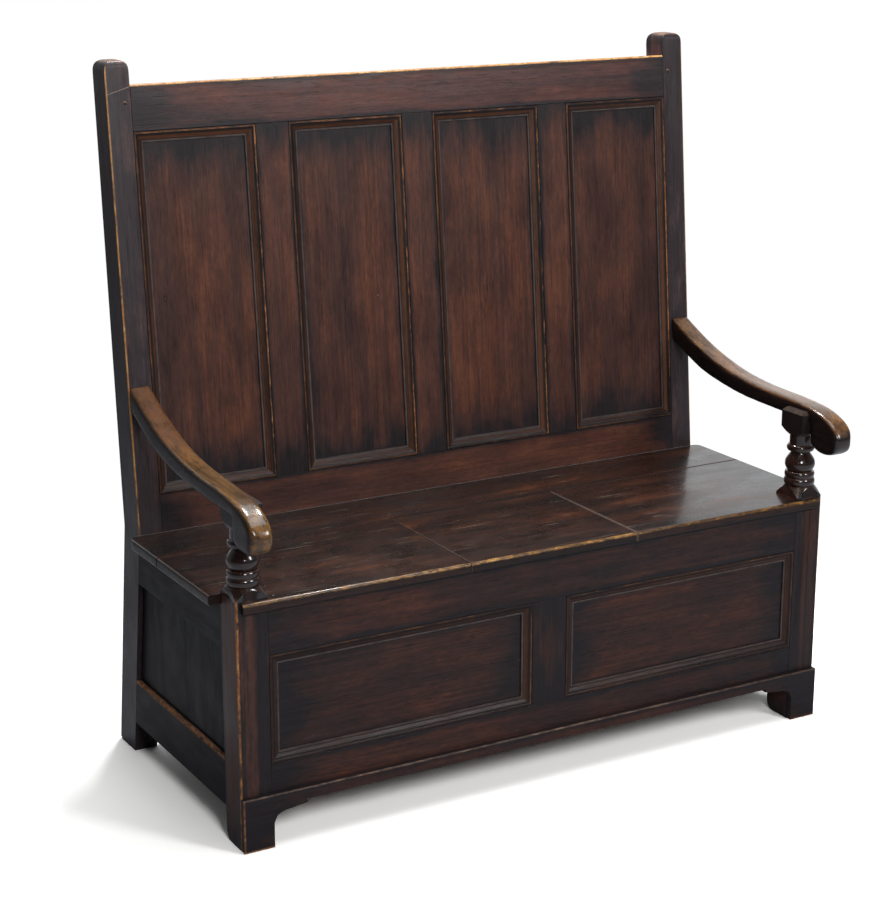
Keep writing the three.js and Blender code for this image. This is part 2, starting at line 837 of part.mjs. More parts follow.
// The raked back: rails, muntins, panels and mouldings in the slope's own frame
function addRakedBack() {
  const grooves = backPanelSpans.map((span) => block(grown(span, clearance)));
  const muntins = [0, 1, 2].map((index) => {
    const x = [backOpenings[index][1], backOpenings[index + 1][0]];
    return {
      body: {
        x,
        y: [0, backRailThickness],
        z: [backPanelBottom + clearance, backPanelTop - clearance],
      },
      tenon: {
        x: [x[0] + tenonShoulder, x[1] - tenonShoulder],
        y: backRailTenon(0, backPanelTop, 1).y,
        z: [backPanelBottom - tenonLength, backPanelTop + tenonLength],
      },
    };
  });
  const mortises = muntins.map(({ tenon }) => block(grown(tenon, clearance)));
  const pegHoles = pegSolid(pegRadius + clearance, backRailThickness + overrun);
  for (const { name, bottom, top } of backRails) {
    const wear = name === "back_top_rail" ? topRailWear : 0;
    const outline = roundedShape([
      [0, bottom],
      [backRailThickness, bottom],
      [backRailThickness, top, wear],
      [0, top, wear],
    ]);
    const body = acrossWidth(outline, [-backInner + clearance, backInner - clearance]);
    const tenons = [-1, 1].map((side) => block(backRailTenon(bottom, top, side)));
    const rail = cut(join(body, ...tenons), ...grooves, ...mortises, pegHoles, mirrored(pegHoles));
    addNode(name, rail, "frame", rakedBack);
  }
  muntins.forEach(({ body, tenon }, index) => {
    const muntin = cut(join(block(body), block(tenon)), ...grooves);
    addNode(`back_muntin_${index + 1}`, muntin, "frame", rakedBack);
  });
  backOpenings.forEach(([left, right], index) => {
    addNode(`back_panel_${index + 1}`, block(backPanelSpans[index]), "panel", rakedBack);
    const ring = mitredRing(
      (left + right) / 2,
      right - left - 2 * mouldingGap,
      backPanelBottom + mouldingGap,
      backPanelTop - backPanelBottom - 2 * mouldingGap,
      backPanelSetBack - clearance,
      mouldingProfile(backPanelSetBack),
    );
    addNode(`back_moulding_${index + 1}`, ring, "moulding", rakedBack);
  });
  const peg = pegSolid(pegRadius, pegLength);
  addNode("top_rail_peg_right", peg, "frame", rakedBack);
  addNode("top_rail_peg_left", mirrored(peg), "frame", rakedBack);
}

// The back of the box, in the slope of the legs
const ledgeSpan = {
  x: [-backInner + clearance, backInner - clearance],
  y: [boxBackY[0] - clearance - bearerLedgeWidth, boxBackY[0] - clearance],
  z: [boxBackRails[0].bottom, boxBackRails[0].bottom + bearerLedgeHeight],
};

function addBoxBack() {
  const grooves = boxBackPanelSpans.map((span) => block(grown(span, clearance)));
  const muntinX = [boxBackOpenings[0].x[1], boxBackOpenings[1].x[0]];
  const tenon = {
    x: [muntinX[0] + tenonShoulder, muntinX[1] - tenonShoulder],
    y: boxBackTenonY,
    z: [boxBackRails[1].top - tenonLength, boxBackRails[0].bottom + tenonLength],
  };
  const body = {
    x: muntinX,
    y: boxBackY,
    z: [boxBackRails[1].top + clearance, boxBackRails[0].bottom - clearance],
  };
  const muntin = cut(join(block(body), block(tenon)), ...grooves);
  addNode("box_back_muntin", muntin, "inner", splayedBack);
  for (const { name, bottom, top } of boxBackRails) {
    const x = [-backInner + clearance, backInner - clearance];
    const rail = block({ x, y: boxBackY, z: [bottom, top] });
    const tenons = [-1, 1].map((side) => block(boxBackTenon(bottom, top, side)));
    const joined = cut(join(rail, ...tenons), ...grooves, block(grown(tenon, clearance)));
    addNode(name, joined, "inner", splayedBack);
  }
  boxBackOpenings.forEach((opening, index) => {
    addNode(`box_back_panel_${opening.name}`, block(boxBackPanelSpans[index]), "inner", splayedBack);
  });
  addNode("seat_bearer_ledge", block(ledgeSpan), "inner", splayedBack);
}

// The space that the raked bottom rail keeps clear of boards and bearers
function backRailSpace() {
  const outer = halfWidth + seatOverhang;
  return rakedSpan({
    x: [-outer, outer],
    y: [-clearance, backRailThickness + clearance],
    z: [-backBottomRailDrop - clearance, backPanelBottom],
  });
}

// Seat boards and lid, cut from one blank with a rounded nose and rounded ends
function seatBlank() {
  const nose = roundedShape([
    [-noseReach, seatUnderside, noseRound / 2],
    [boxDepth, seatUnderside],
    [boxDepth, seatHeight],
    [-noseReach, seatHeight, noseRound],
  ]);
  const outer = halfWidth + seatOverhang;
  const ends = roundedShape([
    [-outer, seatUnderside, noseRound / 2],
    [outer, seatUnderside, noseRound / 2],
    [outer, seatHeight, noseRound],
    [-outer, seatHeight, noseRound],
  ]);
  const plan = roundedShape([
    [-outer, -noseReach],
    [outer, -noseReach],
    [outer, boxDepth, seatCornerRound],
    [-outer, boxDepth, seatCornerRound],
  ]);
  const blank = acrossWidth(nose, [-outer, outer])
    .intersect(throughDepth(ends, [-noseReach, boxDepth]))
    .intersect(upHeight(plan, [seatUnderside, seatHeight]));
  return cut(blank, backRailSpace());
}

const noseHeights = [seatUnderside - overrun, seatHeight + overrun];

// The post passes through the board behind a narrow strip of the nose
function postNotch(side) {
  const inner = halfWidth - postWidth - clearance;
  const outer = halfWidth + seatOverhang + overrun;
  const stripEnd = halfWidth - noseSetBack;
  const notch = block({
    x: [inner, outer],
    y: [-clearance, postDepth + clearance],
    z: noseHeights,
  });
  const corner = block({ x: [stripEnd, outer], y: [-noseReach - overrun, 0], z: noseHeights });
  const both = join(notch, corner);
  return side > 0 ? both : mirrored(both);
}

const hingeStarts = [lidLeft + hingeInset, lidRight - hingeInset - hingeLength];
const hingeSpans = hingeStarts.map((x) => [x, x + hingeLength]);

function roundAlongWidth(radius, [x0, x1]) {
  const geometry = new THREE.CylinderGeometry(radius, radius, x1 - x0, hingeSides);
  geometry.rotateZ(Math.PI / 2);
  geometry.translate((x0 + x1) / 2, pivotY, pivotHeight);
  return solidFrom(geometry);
}

function fixedLeafPlate([x0, x1]) {
  const back = rearBoardFront - clearance;
  return { x: [x0, x1], y: [back - leafThickness, back], z: [pivotHeight - leafDrop, pivotHeight] };
}

function lidLeafPlate([x0, x1]) {
  const front = lidBack - clearance;
  return { x: [x0, x1], y: [front - leafThickness, front], z: [pivotHeight - leafDrop, pivotHeight] };
}

// The lid's back edge is rounded about the hinge pin, so it turns without leaving its place
function lidSolid(blank) {
  const sideCuts = [lidLeft + lidJoint / 2, lidRight - lidJoint / 2];
  const body = blank.intersect(block({
    x: sideCuts,
    y: [-noseReach - overrun, lidBack - clearance],
    z: noseHeights,
  }));
  const edge = roundAlongWidth(knuckleRadius + clearance, sideCuts);
  const recesses = hingeSpans.map((span) => {
    const reach = knuckleRadius + 2 * clearance;
    const barrel = block({
      x: [span[0] - clearance, span[1] + clearance],
      y: [pivotY - reach, pivotY + reach + overrun],
      z: [pivotHeight - reach, seatHeight + overrun],
    });
    return join(barrel, block(grown(lidLeafPlate(span), clearance)));
  });
  return cut(join(body, edge), ...recesses);
}

// The space of the lid where it leans open, which the rear board's arris keeps clear of
function openLidSpace() {
  const space = block({
    x: [lidLeft, lidRight],
    y: [-noseReach, pivotY],
    z: [seatUnderside, seatHeight + clearance],
  });
  const turn = new THREE.Matrix4().makeTranslation(0, -pivotY, -pivotHeight);
  turn.premultiply(new THREE.Matrix4().makeRotationX(-lidOpening));
  turn.premultiply(new THREE.Matrix4().makeTranslation(0, pivotY, pivotHeight));
  return moved(space, turn);
}

function addSeat() {
  const blank = seatBlank();
  const outer = halfWidth + seatOverhang + overrun;
  const rearSpan = { x: [-outer, outer], y: [rearBoardFront, boxDepth], z: noseHeights };
  addNode("seat_rear_board", cut(blank.intersect(block(rearSpan)), openLidSpace()), "seat");
  const frontBoards = [
    ["seat_front_board_left", [-outer, lidLeft - lidJoint / 2]],
    ["seat_front_board_right", [lidRight + lidJoint / 2, outer]],
  ];
  for (const [name, x] of frontBoards) {
    const span = { x, y: [-noseReach - overrun, rearBoardFront - clearance * 2], z: noseHeights };
    addNode(name, cut(blank.intersect(block(span)), postNotch(1), postNotch(-1)), "seat");
  }
  addNode("seat_lid", lidSolid(blank), "seat");
  const ledge = splayedSpan(grown(ledgeSpan, clearance));
  const topRail = boxBackRails[0];
  const backRail = splayedSpan({
    x: [-halfWidth, halfWidth],
    y: [boxBackY[0] - clearance, boxBackY[1] + bearerWidth],
    z: [topRail.bottom, topRail.top + bearerWidth],
  });
  bearerSpans.forEach((span, index) => {
    const body = join(block(span), block(bearerStubSpans[index]));
    const bearer = cut(body, ledge, backRail, backRailSpace());
    addNode(`seat_bearer_${index === 0 ? "left" : "right"}`, bearer, "inner");
  });
}

// Two butt hinges: the fixed leaf has the outer knuckles and the lid's leaf the middle one
function addHinges() {
  hingeSpans.forEach((span, index) => {
    const side = index === 0 ? "left" : "right";
    const third = (span[1] - span[0]) / 3;
    const bore = roundAlongWidth(pinBore, [span[0] - overrun, span[1] + overrun]);
    const middle = [span[0] + third, span[1] - third];
    const outers = [[span[0], middle[0] - knuckleGap], [middle[1] + knuckleGap, span[1]]];
    const clearOfOuters = outers.map((outer) => block({
      x: [outer[0] - knuckleGap, outer[1] + knuckleGap],
      y: [pivotY - knuckleRadius - clearance, pivotY + overrun],
      z: [pivotHeight - knuckleRadius - clearance, pivotHeight + overrun],
    }));
    const clearOfMiddle = block({
      x: [middle[0] - knuckleGap, middle[1] + knuckleGap],
      y: [pivotY - overrun, pivotY + knuckleRadius + clearance],
      z: [pivotHeight - knuckleRadius - clearance, pivotHeight + overrun],
    });
    const fixedPlate = cut(block(fixedLeafPlate(span)), clearOfMiddle);
    const knuckles = outers.map((outer) => roundAlongWidth(knuckleRadius, outer));
    addNode(`hinge_leaf_fixed_${side}`, cut(join(fixedPlate, ...knuckles), bore), "iron");
    const lidPlate = cut(block(lidLeafPlate(span)), ...clearOfOuters);
    const lidLeaf = cut(join(lidPlate, roundAlongWidth(knuckleRadius, middle)), bore);
    addNode(`hinge_leaf_lid_${side}`, lidLeaf, "iron");
    addNode(`hinge_pin_${side}`, roundAlongWidth(hingePinRadius, span), "iron");
  });
}

// Boards of the box floor on two ledges
function addFloor() {
  const back = splayedBack.matrix;
  const height = floorHeight;
  const slopeDown = (height - seatHeight) / Math.cos(legSplay);
  const inner = new THREE.Vector3(0, boxBackY[0], slopeDown).applyMatrix4(back);
  const front = railThickness + clearance;
  const depth = inner.y - clearance - front;
  const boardDepth = (depth - (floorBoardCount - 1) * floorBoardGap) / floorBoardCount;
  const postCuts = [1, -1].map((side) => {
    const corner = block({
      x: [halfWidth - postWidth - clearance, halfWidth],
      y: [0, postDepth + clearance],
      z: [0, seatHeight],
    });
    const legs = block({
      x: [backInner - clearance, halfWidth],
      y: [postFaceAt(height + floorBoardThickness) - clearance, inner.y + legDepth],
      z: [0, seatHeight],
    });
    const both = join(corner, legs);
    return side > 0 ? both : mirrored(both);
  });
  const boxBackCut = splayedSpan({
    x: [-halfWidth, halfWidth],
    y: [boxBackY[0] - clearance, boxBackY[1] + legDepth],
    z: [-seatHeight, 0],
  });
  for (let index = 0; index < floorBoardCount; index += 1) {
    const start = front + index * (boardDepth + floorBoardGap);
    const board = block({
      x: [-sideRailX[0] + clearance, sideRailX[0] - clearance],
      y: [start, start + boardDepth],
      z: [height, height + floorBoardThickness],
    });
    addNode(`floor_board_${index + 1}`, cut(board, ...postCuts, boxBackCut), "inner");
  }
  const ledgeX = [-halfWidth + postWidth + clearance, halfWidth - postWidth - clearance];
  const ledgeZ = [height - clearance - floorLedgeSide, height - clearance];
  addNode("floor_ledge_front", block({ x: ledgeX, y: [front, front + floorLedgeSide], z: ledgeZ }), "inner");
  const backLedge = block({ x: ledgeX, y: [inner.y - floorLedgeSide, inner.y + floorLedgeSide], z: ledgeZ });
  addNode("floor_ledge_back", cut(backLedge, boxBackCut), "inner");
}

// Bracket plinth planted on the front
function addPlinth() {
  const half = (side) => {
    const at = (run, height, round = 0) => [side * (halfWidth - run), height, round];
    const foot = [
      at(0, 0),
      at(bracketWidth, 0),
      at(bracketWidth, bracketStraight),
      at(bracketWidth + bracketScoopWidth / 3, bracketSpringHeight - bracketScoopWidth / 4),
      at(bracketWidth + bracketScoopWidth, bracketSpringHeight),
      at(bracketWidth + bracketRun, bracketCuspHeight - bracketCuspLean / 2),
      at(bracketWidth + bracketRun + bracketScoopWidth / 2, bracketCuspHeight + bracketCuspLean / 2),
      at(bracketWidth + bracketRun + bracketScoopWidth / 2 - bracketCuspLean, plinthUnderside),
    ];
    return side < 0 ? foot : foot.reverse();
  };
  const outline = roundedShape([...half(-1), ...half(1), [halfWidth, plinthTop], [-halfWidth, plinthTop]]);
  const section = roundedShape([
    [-plinthThickness - clearance, 0],
    [-clearance, 0],
    [-clearance, plinthTop],
    [-plinthThickness - clearance, plinthTop, plinthRound],
  ]);
  const board = throughDepth(outline, [-plinthThickness - clearance, -clearance]);
  const plinth = board.intersect(acrossWidth(section, [-halfWidth, halfWidth]));
  addNode("bracket_plinth", plinth, "frame");
}

// The scroll is rounded across its front and under its chin, most on the outer side
function scrollRounded(solid) {
  const inner = halfWidth - armWidth;
  const plan = roundedShape([
    [inner, -armFrontReach, scrollInnerRound],
    [halfWidth, -armFrontReach, scrollOuterRound],
    [halfWidth, armBackY],
    [inner, armBackY],
  ]);
  const front = roundedShape([
    [inner, scrollBottom, scrollInnerRound],
    [halfWidth, scrollBottom, scrollOuterRound],
    [halfWidth, armTopAtPost + overrun],
    [inner, armTopAtPost + overrun],
  ]);
  return solid
    .intersect(upHeight(plan, [scrollBottom, armTopAtPost + overrun]))
    .intersect(throughDepth(front, [-armFrontReach, armBackY]));
}

// Arms: a side outline swept down to the scroll, with the front splayed outwards
function armSolid() {
  const length = armBackY + armFrontReach;
  const rise = armTopAtPost - scrollBottom;
  const top = armTopShares.map(([along, up]) =>
    new THREE.Vector2(armBackY - along * length, scrollBottom + up * rise));
  const run = postFaceAt(armUndersideAtPost) - postDepth;
  const underside = armUndersideShares.map(([along, up]) => new THREE.Vector2(
    postDepth + along * run,
    armUndersideAtBlock + up * (armUndersideAtPost - armUndersideAtBlock),
  ));
  const start = new THREE.Vector2(armBackY - clearance, armTopAtPost);
  const end = new THREE.Vector2(postFaceAt(armUndersideAtPost) - clearance, armUndersideAtPost);
  const scrollBack = new THREE.Vector2(-clearance, scrollBackHeight);
  const curl = new THREE.QuadraticBezierCurve(
    top.at(-1), new THREE.Vector2(-armFrontReach / 4, scrollBottom), scrollBack);
  const step = new THREE.Vector2(-clearance, armUndersideAtBlock);
  const seat = new THREE.Vector2(postDepth, armUndersideAtBlock);
  const outline = new THREE.Shape([
    ...new THREE.SplineCurve([start, ...top]).getPoints(armTopSteps),
    ...curl.getPoints(curveSteps).slice(1),
    step,
    ...new THREE.SplineCurve([seat, ...underside, end]).getPoints(armUndersideSteps),
  ]);
  const options = {
    depth: armWidth - 2 * armRound,
    bevelEnabled: true,
    bevelThickness: armRound,
    bevelSize: armRound,
    bevelOffset: -armRound,
    bevelSegments: 2,
  };
  const geometry = new THREE.ExtrudeGeometry(outline, options);
  geometry.applyMatrix4(new THREE.Matrix4().makeBasis(axisY, axisZ, axisX));
  geometry.translate(halfWidth - armWidth + armRound, 0, 0);
  const shaped = scrollRounded(solidFrom(geometry));
  const splay = new THREE.Matrix4().makeShear(0, 0, -armSplay / boxDepth, 0, 0, 0).setPosition(armSplay, 0, 0);
  const arm = join(moved(shaped, splay), block(armTenonSpan));
  return cut(arm, block(grown(supportTenonSpan, clearance)));
}

function addArms() {
  const arm = armSolid();
  addNode("arm_right", arm, "arm");
  addNode("arm_left", mirrored(arm), "arm");
}

addPosts();
addFront();
addSides();
addRakedBack();
addBoxBack();
addSeat();
addHinges();
addFloor();
addPlinth();
addArms();

// The origin is under the middle of the whole settle
settle.updateMatrixWorld(true);
const bounds = new THREE.Box3().setFromObject(settle, true);
settle.position.y = -(bounds.min.y + bounds.max.y) / 2;

export default settle;
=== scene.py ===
"""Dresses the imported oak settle: polished, worn oak, studio light and the photograph's view."""
import json
import math

import bpy
from mathutils import Matrix, Vector

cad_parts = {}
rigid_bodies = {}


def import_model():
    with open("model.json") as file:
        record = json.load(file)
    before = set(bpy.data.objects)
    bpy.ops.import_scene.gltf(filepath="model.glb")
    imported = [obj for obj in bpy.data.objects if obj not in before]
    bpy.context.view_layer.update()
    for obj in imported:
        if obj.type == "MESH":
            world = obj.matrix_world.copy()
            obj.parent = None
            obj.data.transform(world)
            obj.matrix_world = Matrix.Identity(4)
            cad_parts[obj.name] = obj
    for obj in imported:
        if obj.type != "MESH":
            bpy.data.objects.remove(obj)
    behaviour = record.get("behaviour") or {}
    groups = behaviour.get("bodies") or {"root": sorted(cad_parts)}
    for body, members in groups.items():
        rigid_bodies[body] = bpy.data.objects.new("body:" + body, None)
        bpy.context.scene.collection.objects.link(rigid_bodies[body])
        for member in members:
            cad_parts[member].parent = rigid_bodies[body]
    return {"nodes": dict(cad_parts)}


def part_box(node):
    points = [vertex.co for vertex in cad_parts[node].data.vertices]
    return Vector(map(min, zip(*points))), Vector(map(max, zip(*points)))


for leftover in list(bpy.data.objects):
    bpy.data.objects.remove(leftover)
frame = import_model()
bpy.context.view_layer.update()
nodes = frame["nodes"]
scene = bpy.context.scene

# Sizes that the frame is built on, in metres
BOX_DEPTH = 0.418
FRONT_TO_ORIGIN = 0.2372
BOX_BACK = BOX_DEPTH - FRONT_TO_ORIGIN
SEAT = 0.445
BACK_RAKE = math.radians(-5.4)
LEG_SPLAY = math.radians(8.4)
HALF_WIDTH = 0.6125
POST_WIDTH = 0.045
POST_DEPTH = 0.059
POST_TOP = 1.284
TENON = 0.0303
BACK_TENON = 0.0243
TONGUE = 0.0083

# Camera: its lens is as long as the calibration found it, in pixels of the photograph
LONG_SIDE = 902
LENS_PIXELS = 2105.8
SENSOR_WIDTH = 36
CAMERA_PLACE = (-1.9347, -2.9862 - FRONT_TO_ORIGIN, 1.6263)
YAW = 0.5173
PITCH = 0.2758
camera_data = bpy.data.cameras.new("camera")
camera = bpy.data.objects.new("camera", camera_data)
scene.collection.objects.link(camera)
camera_data.sensor_width = SENSOR_WIDTH
camera_data.lens = LENS_PIXELS * SENSOR_WIDTH / LONG_SIDE
camera.location = CAMERA_PLACE
looking = Vector((
    math.sin(YAW) * math.cos(PITCH),
    math.cos(YAW) * math.cos(PITCH),
    -math.sin(PITCH),
))
camera.rotation_euler = looking.to_track_quat("-Z", "Y").to_euler()
scene.camera = camera


class Tree:
    """Short ways to add nodes to a material."""

    def __init__(self, name):
        self.material = bpy.data.materials.new(name)
        self.material.use_nodes = True
        self.nodes = self.material.node_tree.nodes
        self.links = self.material.node_tree.links
        self.nodes.clear()

    def add(self, kind, inputs=None, **settings):
        node = self.nodes.new(kind)
        for key, value in settings.items():
            setattr(node, key, value)
        for key, value in (inputs or {}).items():
            self.put(node.inputs[key], value)
        return node

    def put(self, socket, value):
        if isinstance(value, bpy.types.NodeSocket):
            self.links.new(value, socket)
        else:
            socket.default_value = value

    def math(self, operation, a, b=0.0, c=0.0):
        return self.add("ShaderNodeMath", {0: a, 1: b, 2: c}, operation=operation).outputs[0]

    def times(self, *values):
        result = values[0]
        for value in values[1:]:
            result = self.math("MULTIPLY", result, value)
        return result

    def plus(self, *values):
        result = values[0]
        for value in values[1:]:
            result = self.math("ADD", result, value)
        return result

    def swing(self, value, amount):
        """A noise value moved about zero, times an amount."""
        return self.math("MULTIPLY_ADD", value, amount, -amount / 2)

    def ramp(self, value, low, high, to_low=0.0, to_high=1.0, kind="SMOOTHSTEP"):
        inputs = {0: value, 1: low, 2: high, 3: to_low, 4: to_high}
        return self.add("ShaderNodeMapRange", inputs, interpolation_type=kind).outputs[0]

    def mix(self, factor, a, b, blend="MIX"):
        node = self.add("ShaderNodeMix", data_type="RGBA", blend_type=blend, clamp_factor=True)
        self.put(node.inputs[0], factor)
        self.put(node.inputs[6], a)
        self.put(node.inputs[7], b)
        return node.outputs[2]

    def mix_value(self, factor, a, b):
        node = self.add("ShaderNodeMix", data_type="FLOAT", clamp_factor=True)
        self.put(node.inputs[0], factor)
        self.put(node.inputs[2], a)
        self.put(node.inputs[3], b)
        return node.outputs[0]

    def mix_vector(self, factor, a, b):
        node = self.add("ShaderNodeMix", data_type="VECTOR", clamp_factor=True)
        self.put(node.inputs[0], factor)
        self.put(node.inputs[4], a)
        self.put(node.inputs[5], b)
        return node.outputs[1]

    def noise(self, vector, scale, detail=3.0, rough=0.55, distortion=0.0):
        inputs = {
            "Vector": vector, "Scale": scale, "Detail": detail,
            "Roughness": rough, "Distortion": distortion,
        }
        return self.add("ShaderNodeTexNoise", inputs, noise_dimensions="3D").outputs[0]

    def stretch(self, vector, x, y, z, shift=(0, 0, 0)):
        inputs = {0: vector, 1: (x, y, z), 2: shift}
        return self.add("ShaderNodeVectorMath", inputs, operation="MULTIPLY_ADD").outputs[0]

    def finish(self, shader):
        out = self.add("ShaderNodeOutputMaterial")
        self.links.new(shader, out.inputs[0])
        return self.material


def rgb(red, green, blue):
    """A colour written as the screen shows it, in linear light."""
    channels = (red / 255, green / 255, blue / 255)
    linear = [((c + 0.055) / 1.055) ** 2.4 if c > 0.04 else c / 12.92 for c in channels]
    return (*linear, 1.0)


CHAR = rgb(29, 24, 27)
PORE = rgb(13, 9, 9)
HONEY = rgb(140, 84, 42)
GOLD = rgb(206, 146, 84)
FLECK = rgb(150, 112, 88)
# GLINT: the pale colour of painted highlights, small glints on knots and worn arrises
GLINT = rgb(208, 192, 164)

FINISHES = {
    # char, warm, rust: the stain's darkest, middle and lightest; border: how far the dirt reaches in
    # from the sides and from the ends; lively: how strongly the stain varies
    "frame": dict(char=CHAR, warm=rgb(64, 38, 32), rust=rgb(94, 54, 36), border=(0.009, 0.08),
                  bias=0.56, lively=0.75, coat=0.0, level=0.26, rough=0.4),
    "post": dict(char=rgb(46, 38, 41), warm=rgb(86, 61, 58), rust=rgb(116, 78, 65), border=(0.006, 0.05),
                 bias=0.6, lively=0.75, coat=0.0, level=0.34, rough=0.38),
    "top": dict(char=rgb(34, 26, 29), warm=rgb(70, 42, 38), rust=rgb(98, 56, 44), border=(0.01, 0.12),
                bias=0.54, lively=0.8, coat=0.0, level=0.3, rough=0.4),
    "panel": dict(char=CHAR, warm=rgb(62, 37, 31), rust=rgb(102, 57, 34), border=(0.034, 0.11),
                  bias=0.52, lively=0.62, coat=0.0, level=0.26, rough=0.38),
    "front": dict(char=rgb(28, 24, 27), warm=rgb(48, 31, 28), rust=rgb(78, 44, 32), border=(0.036, 0.1),
                  bias=0.48, lively=0.85, coat=0.0, level=0.24, rough=0.4),
    "rail": dict(char=rgb(28, 24, 27), warm=rgb(50, 32, 29), rust=rgb(80, 45, 33), border=(0.012, 0.16),
                 bias=0.5, lively=0.9, coat=0.0, level=0.24, rough=0.4),
    "side": dict(char=rgb(22, 20, 23), warm=rgb(29, 24, 26), rust=rgb(44, 31, 29), border=(0.05, 0.1),
                 bias=0.3, lively=0.8, coat=0.0, level=0.12, rough=0.46),
    "moulding": dict(char=rgb(28, 23, 24), warm=rgb(46, 31, 27), rust=rgb(76, 48, 34), border=None,
                     bias=0.4, lively=0.9, coat=0.0, level=0.2, rough=0.38),
    "seat": dict(char=rgb(23, 17, 15), warm=rgb(50, 28, 20), rust=rgb(102, 57, 29), border=None,
                 bias=0.36, lively=1.1, coat=0.44, level=0.27, rough=0.29),
    "arm": dict(char=rgb(24, 19, 20), warm=rgb(36, 26, 24), rust=rgb(56, 38, 29), border=None,
                bias=0.36, lively=1.0, coat=0.9, level=0.2, rough=0.3),
    "inner": dict(char=rgb(60, 44, 32), warm=rgb(88, 66, 48), rust=rgb(116, 90, 66), border=None,
                  bias=0.5, lively=1.0, coat=0.0, level=0.3, rough=0.7),
}
for label, look in FINISHES.items():
    look["flecks"] = 0.12 if label in ("inner", "side") else 0.3


class Board:
    """Places on one board: its own axes, its distances from each face, and its grain."""

    def __init__(self, name, centre, half, tilt, grain, seed):
        self.tree = tree = Tree(name)
        self.half = half
        self.object_place = tree.add("ShaderNodeTexCoord").outputs["Object"]
        place = tree.add(
            "ShaderNodeMapping",
            {"Vector": self.object_place, "Location": centre, "Rotation": (tilt, 0, 0)},
            vector_type="TEXTURE",
        ).outputs[0]
        self.axes = tree.add("ShaderNodeSeparateXYZ", {0: place}).outputs
        self.gaps = [
            tree.math("SUBTRACT", half[i], tree.math("ABSOLUTE", self.axes[i])) for i in range(3)
        ]
        if grain == "ring":
            upright = tree.math("LESS_THAN", self.gaps[0], self.gaps[2])
            along = tree.mix_vector(upright, self.ordered("X"), self.ordered("Z"))
        else:
            along = self.ordered(grain)
        shift = (seed * 3.71, seed * 1.93, seed * 2.57)
        self.along = tree.stretch(along, 1, 1, 1, shift)
        self.drift = tree.noise(tree.stretch(self.along, 1.4, 7.0, 7.0), 2.0, 3.0, 0.6)
        self.mottle = tree.noise(tree.stretch(self.along, 6.0, 15.0, 15.0), 1.6, 4.0, 0.6)
        self.streaks = tree.noise(tree.stretch(self.along, 1.3, 80.0, 80.0), 1.0, 4.0, 0.64)
        self.fibres = tree.noise(tree.stretch(self.along, 4.0, 240.0, 240.0), 1.0, 4.0, 0.7)
        self.grit = tree.noise(tree.stretch(self.along, 60.0, 170.0, 170.0), 1.0, 4.0, 0.75)
        self.pores = tree.noise(tree.stretch(self.along, 26.0, 700.0, 700.0), 1.0, 1.0, 0.5)
        self.scuff = tree.noise(tree.stretch(self.along, 38.0, 95.0, 95.0), 1.0, 5.0, 0.7)

    def ordered(self, grain):
        order = {"X": (0, 1, 2), "Y": (1, 2, 0), "Z": (2, 0, 1)}[grain]
        inputs = {i: self.axes[order[i]] for i in range(3)}
        return self.tree.add("ShaderNodeCombineXYZ", inputs).outputs[0]

    def gap(self, axis, side):
        """Distance in from the face on one side of one axis."""
        return self.tree.math("MULTIPLY_ADD", self.axes[axis], -side, self.half[axis])

    def arris(self, faces, reach, patchy=(0.3, 0.55)):
        """A broken band along the arris where two faces meet."""
        tree = self.tree
        one, other = (self.gap(*face) for face in faces)
        away = tree.math("SQRT", tree.plus(tree.times(one, one), tree.times(other, other)))
        away = tree.plus(away, tree.swing(self.scuff, reach * 0.8))
        band = tree.ramp(away, reach * 0.45, reach, 1.0, 0.0)
        patches = tree.ramp(tree.plus(self.scuff, tree.swing(self.drift, 0.7)), *patchy, 0.35, 1.0)
        return tree.times(band, patches)


# The coat, and the two depths of unevenness, in metres
COAT_ROUGH = 0.14
COAT_IOR = 1.45
OAK_IOR = 1.5
GRAIN_DEPTH = 0.0005
RIPPLE_DEPTH = 0.002


class Skin:
    """The colour, roughness, height and coat of a surface, which marks change in turn."""

    def __init__(self, colour, rough, height, coat):
        self.colour = colour
        self.rough = rough
        self.height = height
        self.coat = coat


def stain(board, look, grain):
    """How warm the stain is: darkest near the rim, with lighter streaks towards the middle."""
    tree = board.tree
    lively = look["lively"]
    warmth = tree.plus(
        tree.swing(board.drift, 1.3 * lively), tree.swing(board.mottle, 0.9 * lively),
        tree.swing(board.streaks, 0.6 * lively), tree.swing(board.grit, 0.4 * lively), look["bias"],
    )
    if look["border"]:
        lengthwise = "XYZ".index(grain)
        thin = min(range(3), key=lambda i: board.half[i])
        rims = [
            tree.math("DIVIDE", board.gaps[i], look["border"][1 if i == lengthwise else 0])
            for i in range(3) if i != thin
        ]
        rim = tree.plus(
            tree.math("MINIMUM", *rims), tree.swing(board.mottle, 0.85), tree.swing(board.drift, 0.4),
        )
        warmth = tree.plus(warmth, tree.ramp(rim, -0.1, 1.0, -0.5, 0.08))
    return warmth


def knots(board):
    """A few small knots: masks of their dark spots, and of the painted highlights, bright points in
    their middles.
    """
    tree = board.tree
    inputs = {"Vector": tree.stretch(board.along, 7.0, 11.0, 11.0), "Scale": 1.0, "Randomness": 1.0}
    cells = tree.add("ShaderNodeTexVoronoi", inputs, voronoi_dimensions="3D").outputs
    chance = tree.add("ShaderNodeSeparateXYZ", {0: cells["Color"]}).outputs[0]
    some = tree.ramp(chance, 0.55, 0.6)
    spot = tree.ramp(cells["Distance"], 0.02, 0.07, 1.0, 0.0)
    glint_spot = tree.ramp(cells["Distance"], 0.006, 0.018, 1.0, 0.0)
    return tree.times(spot, some), tree.times(glint_spot, some)


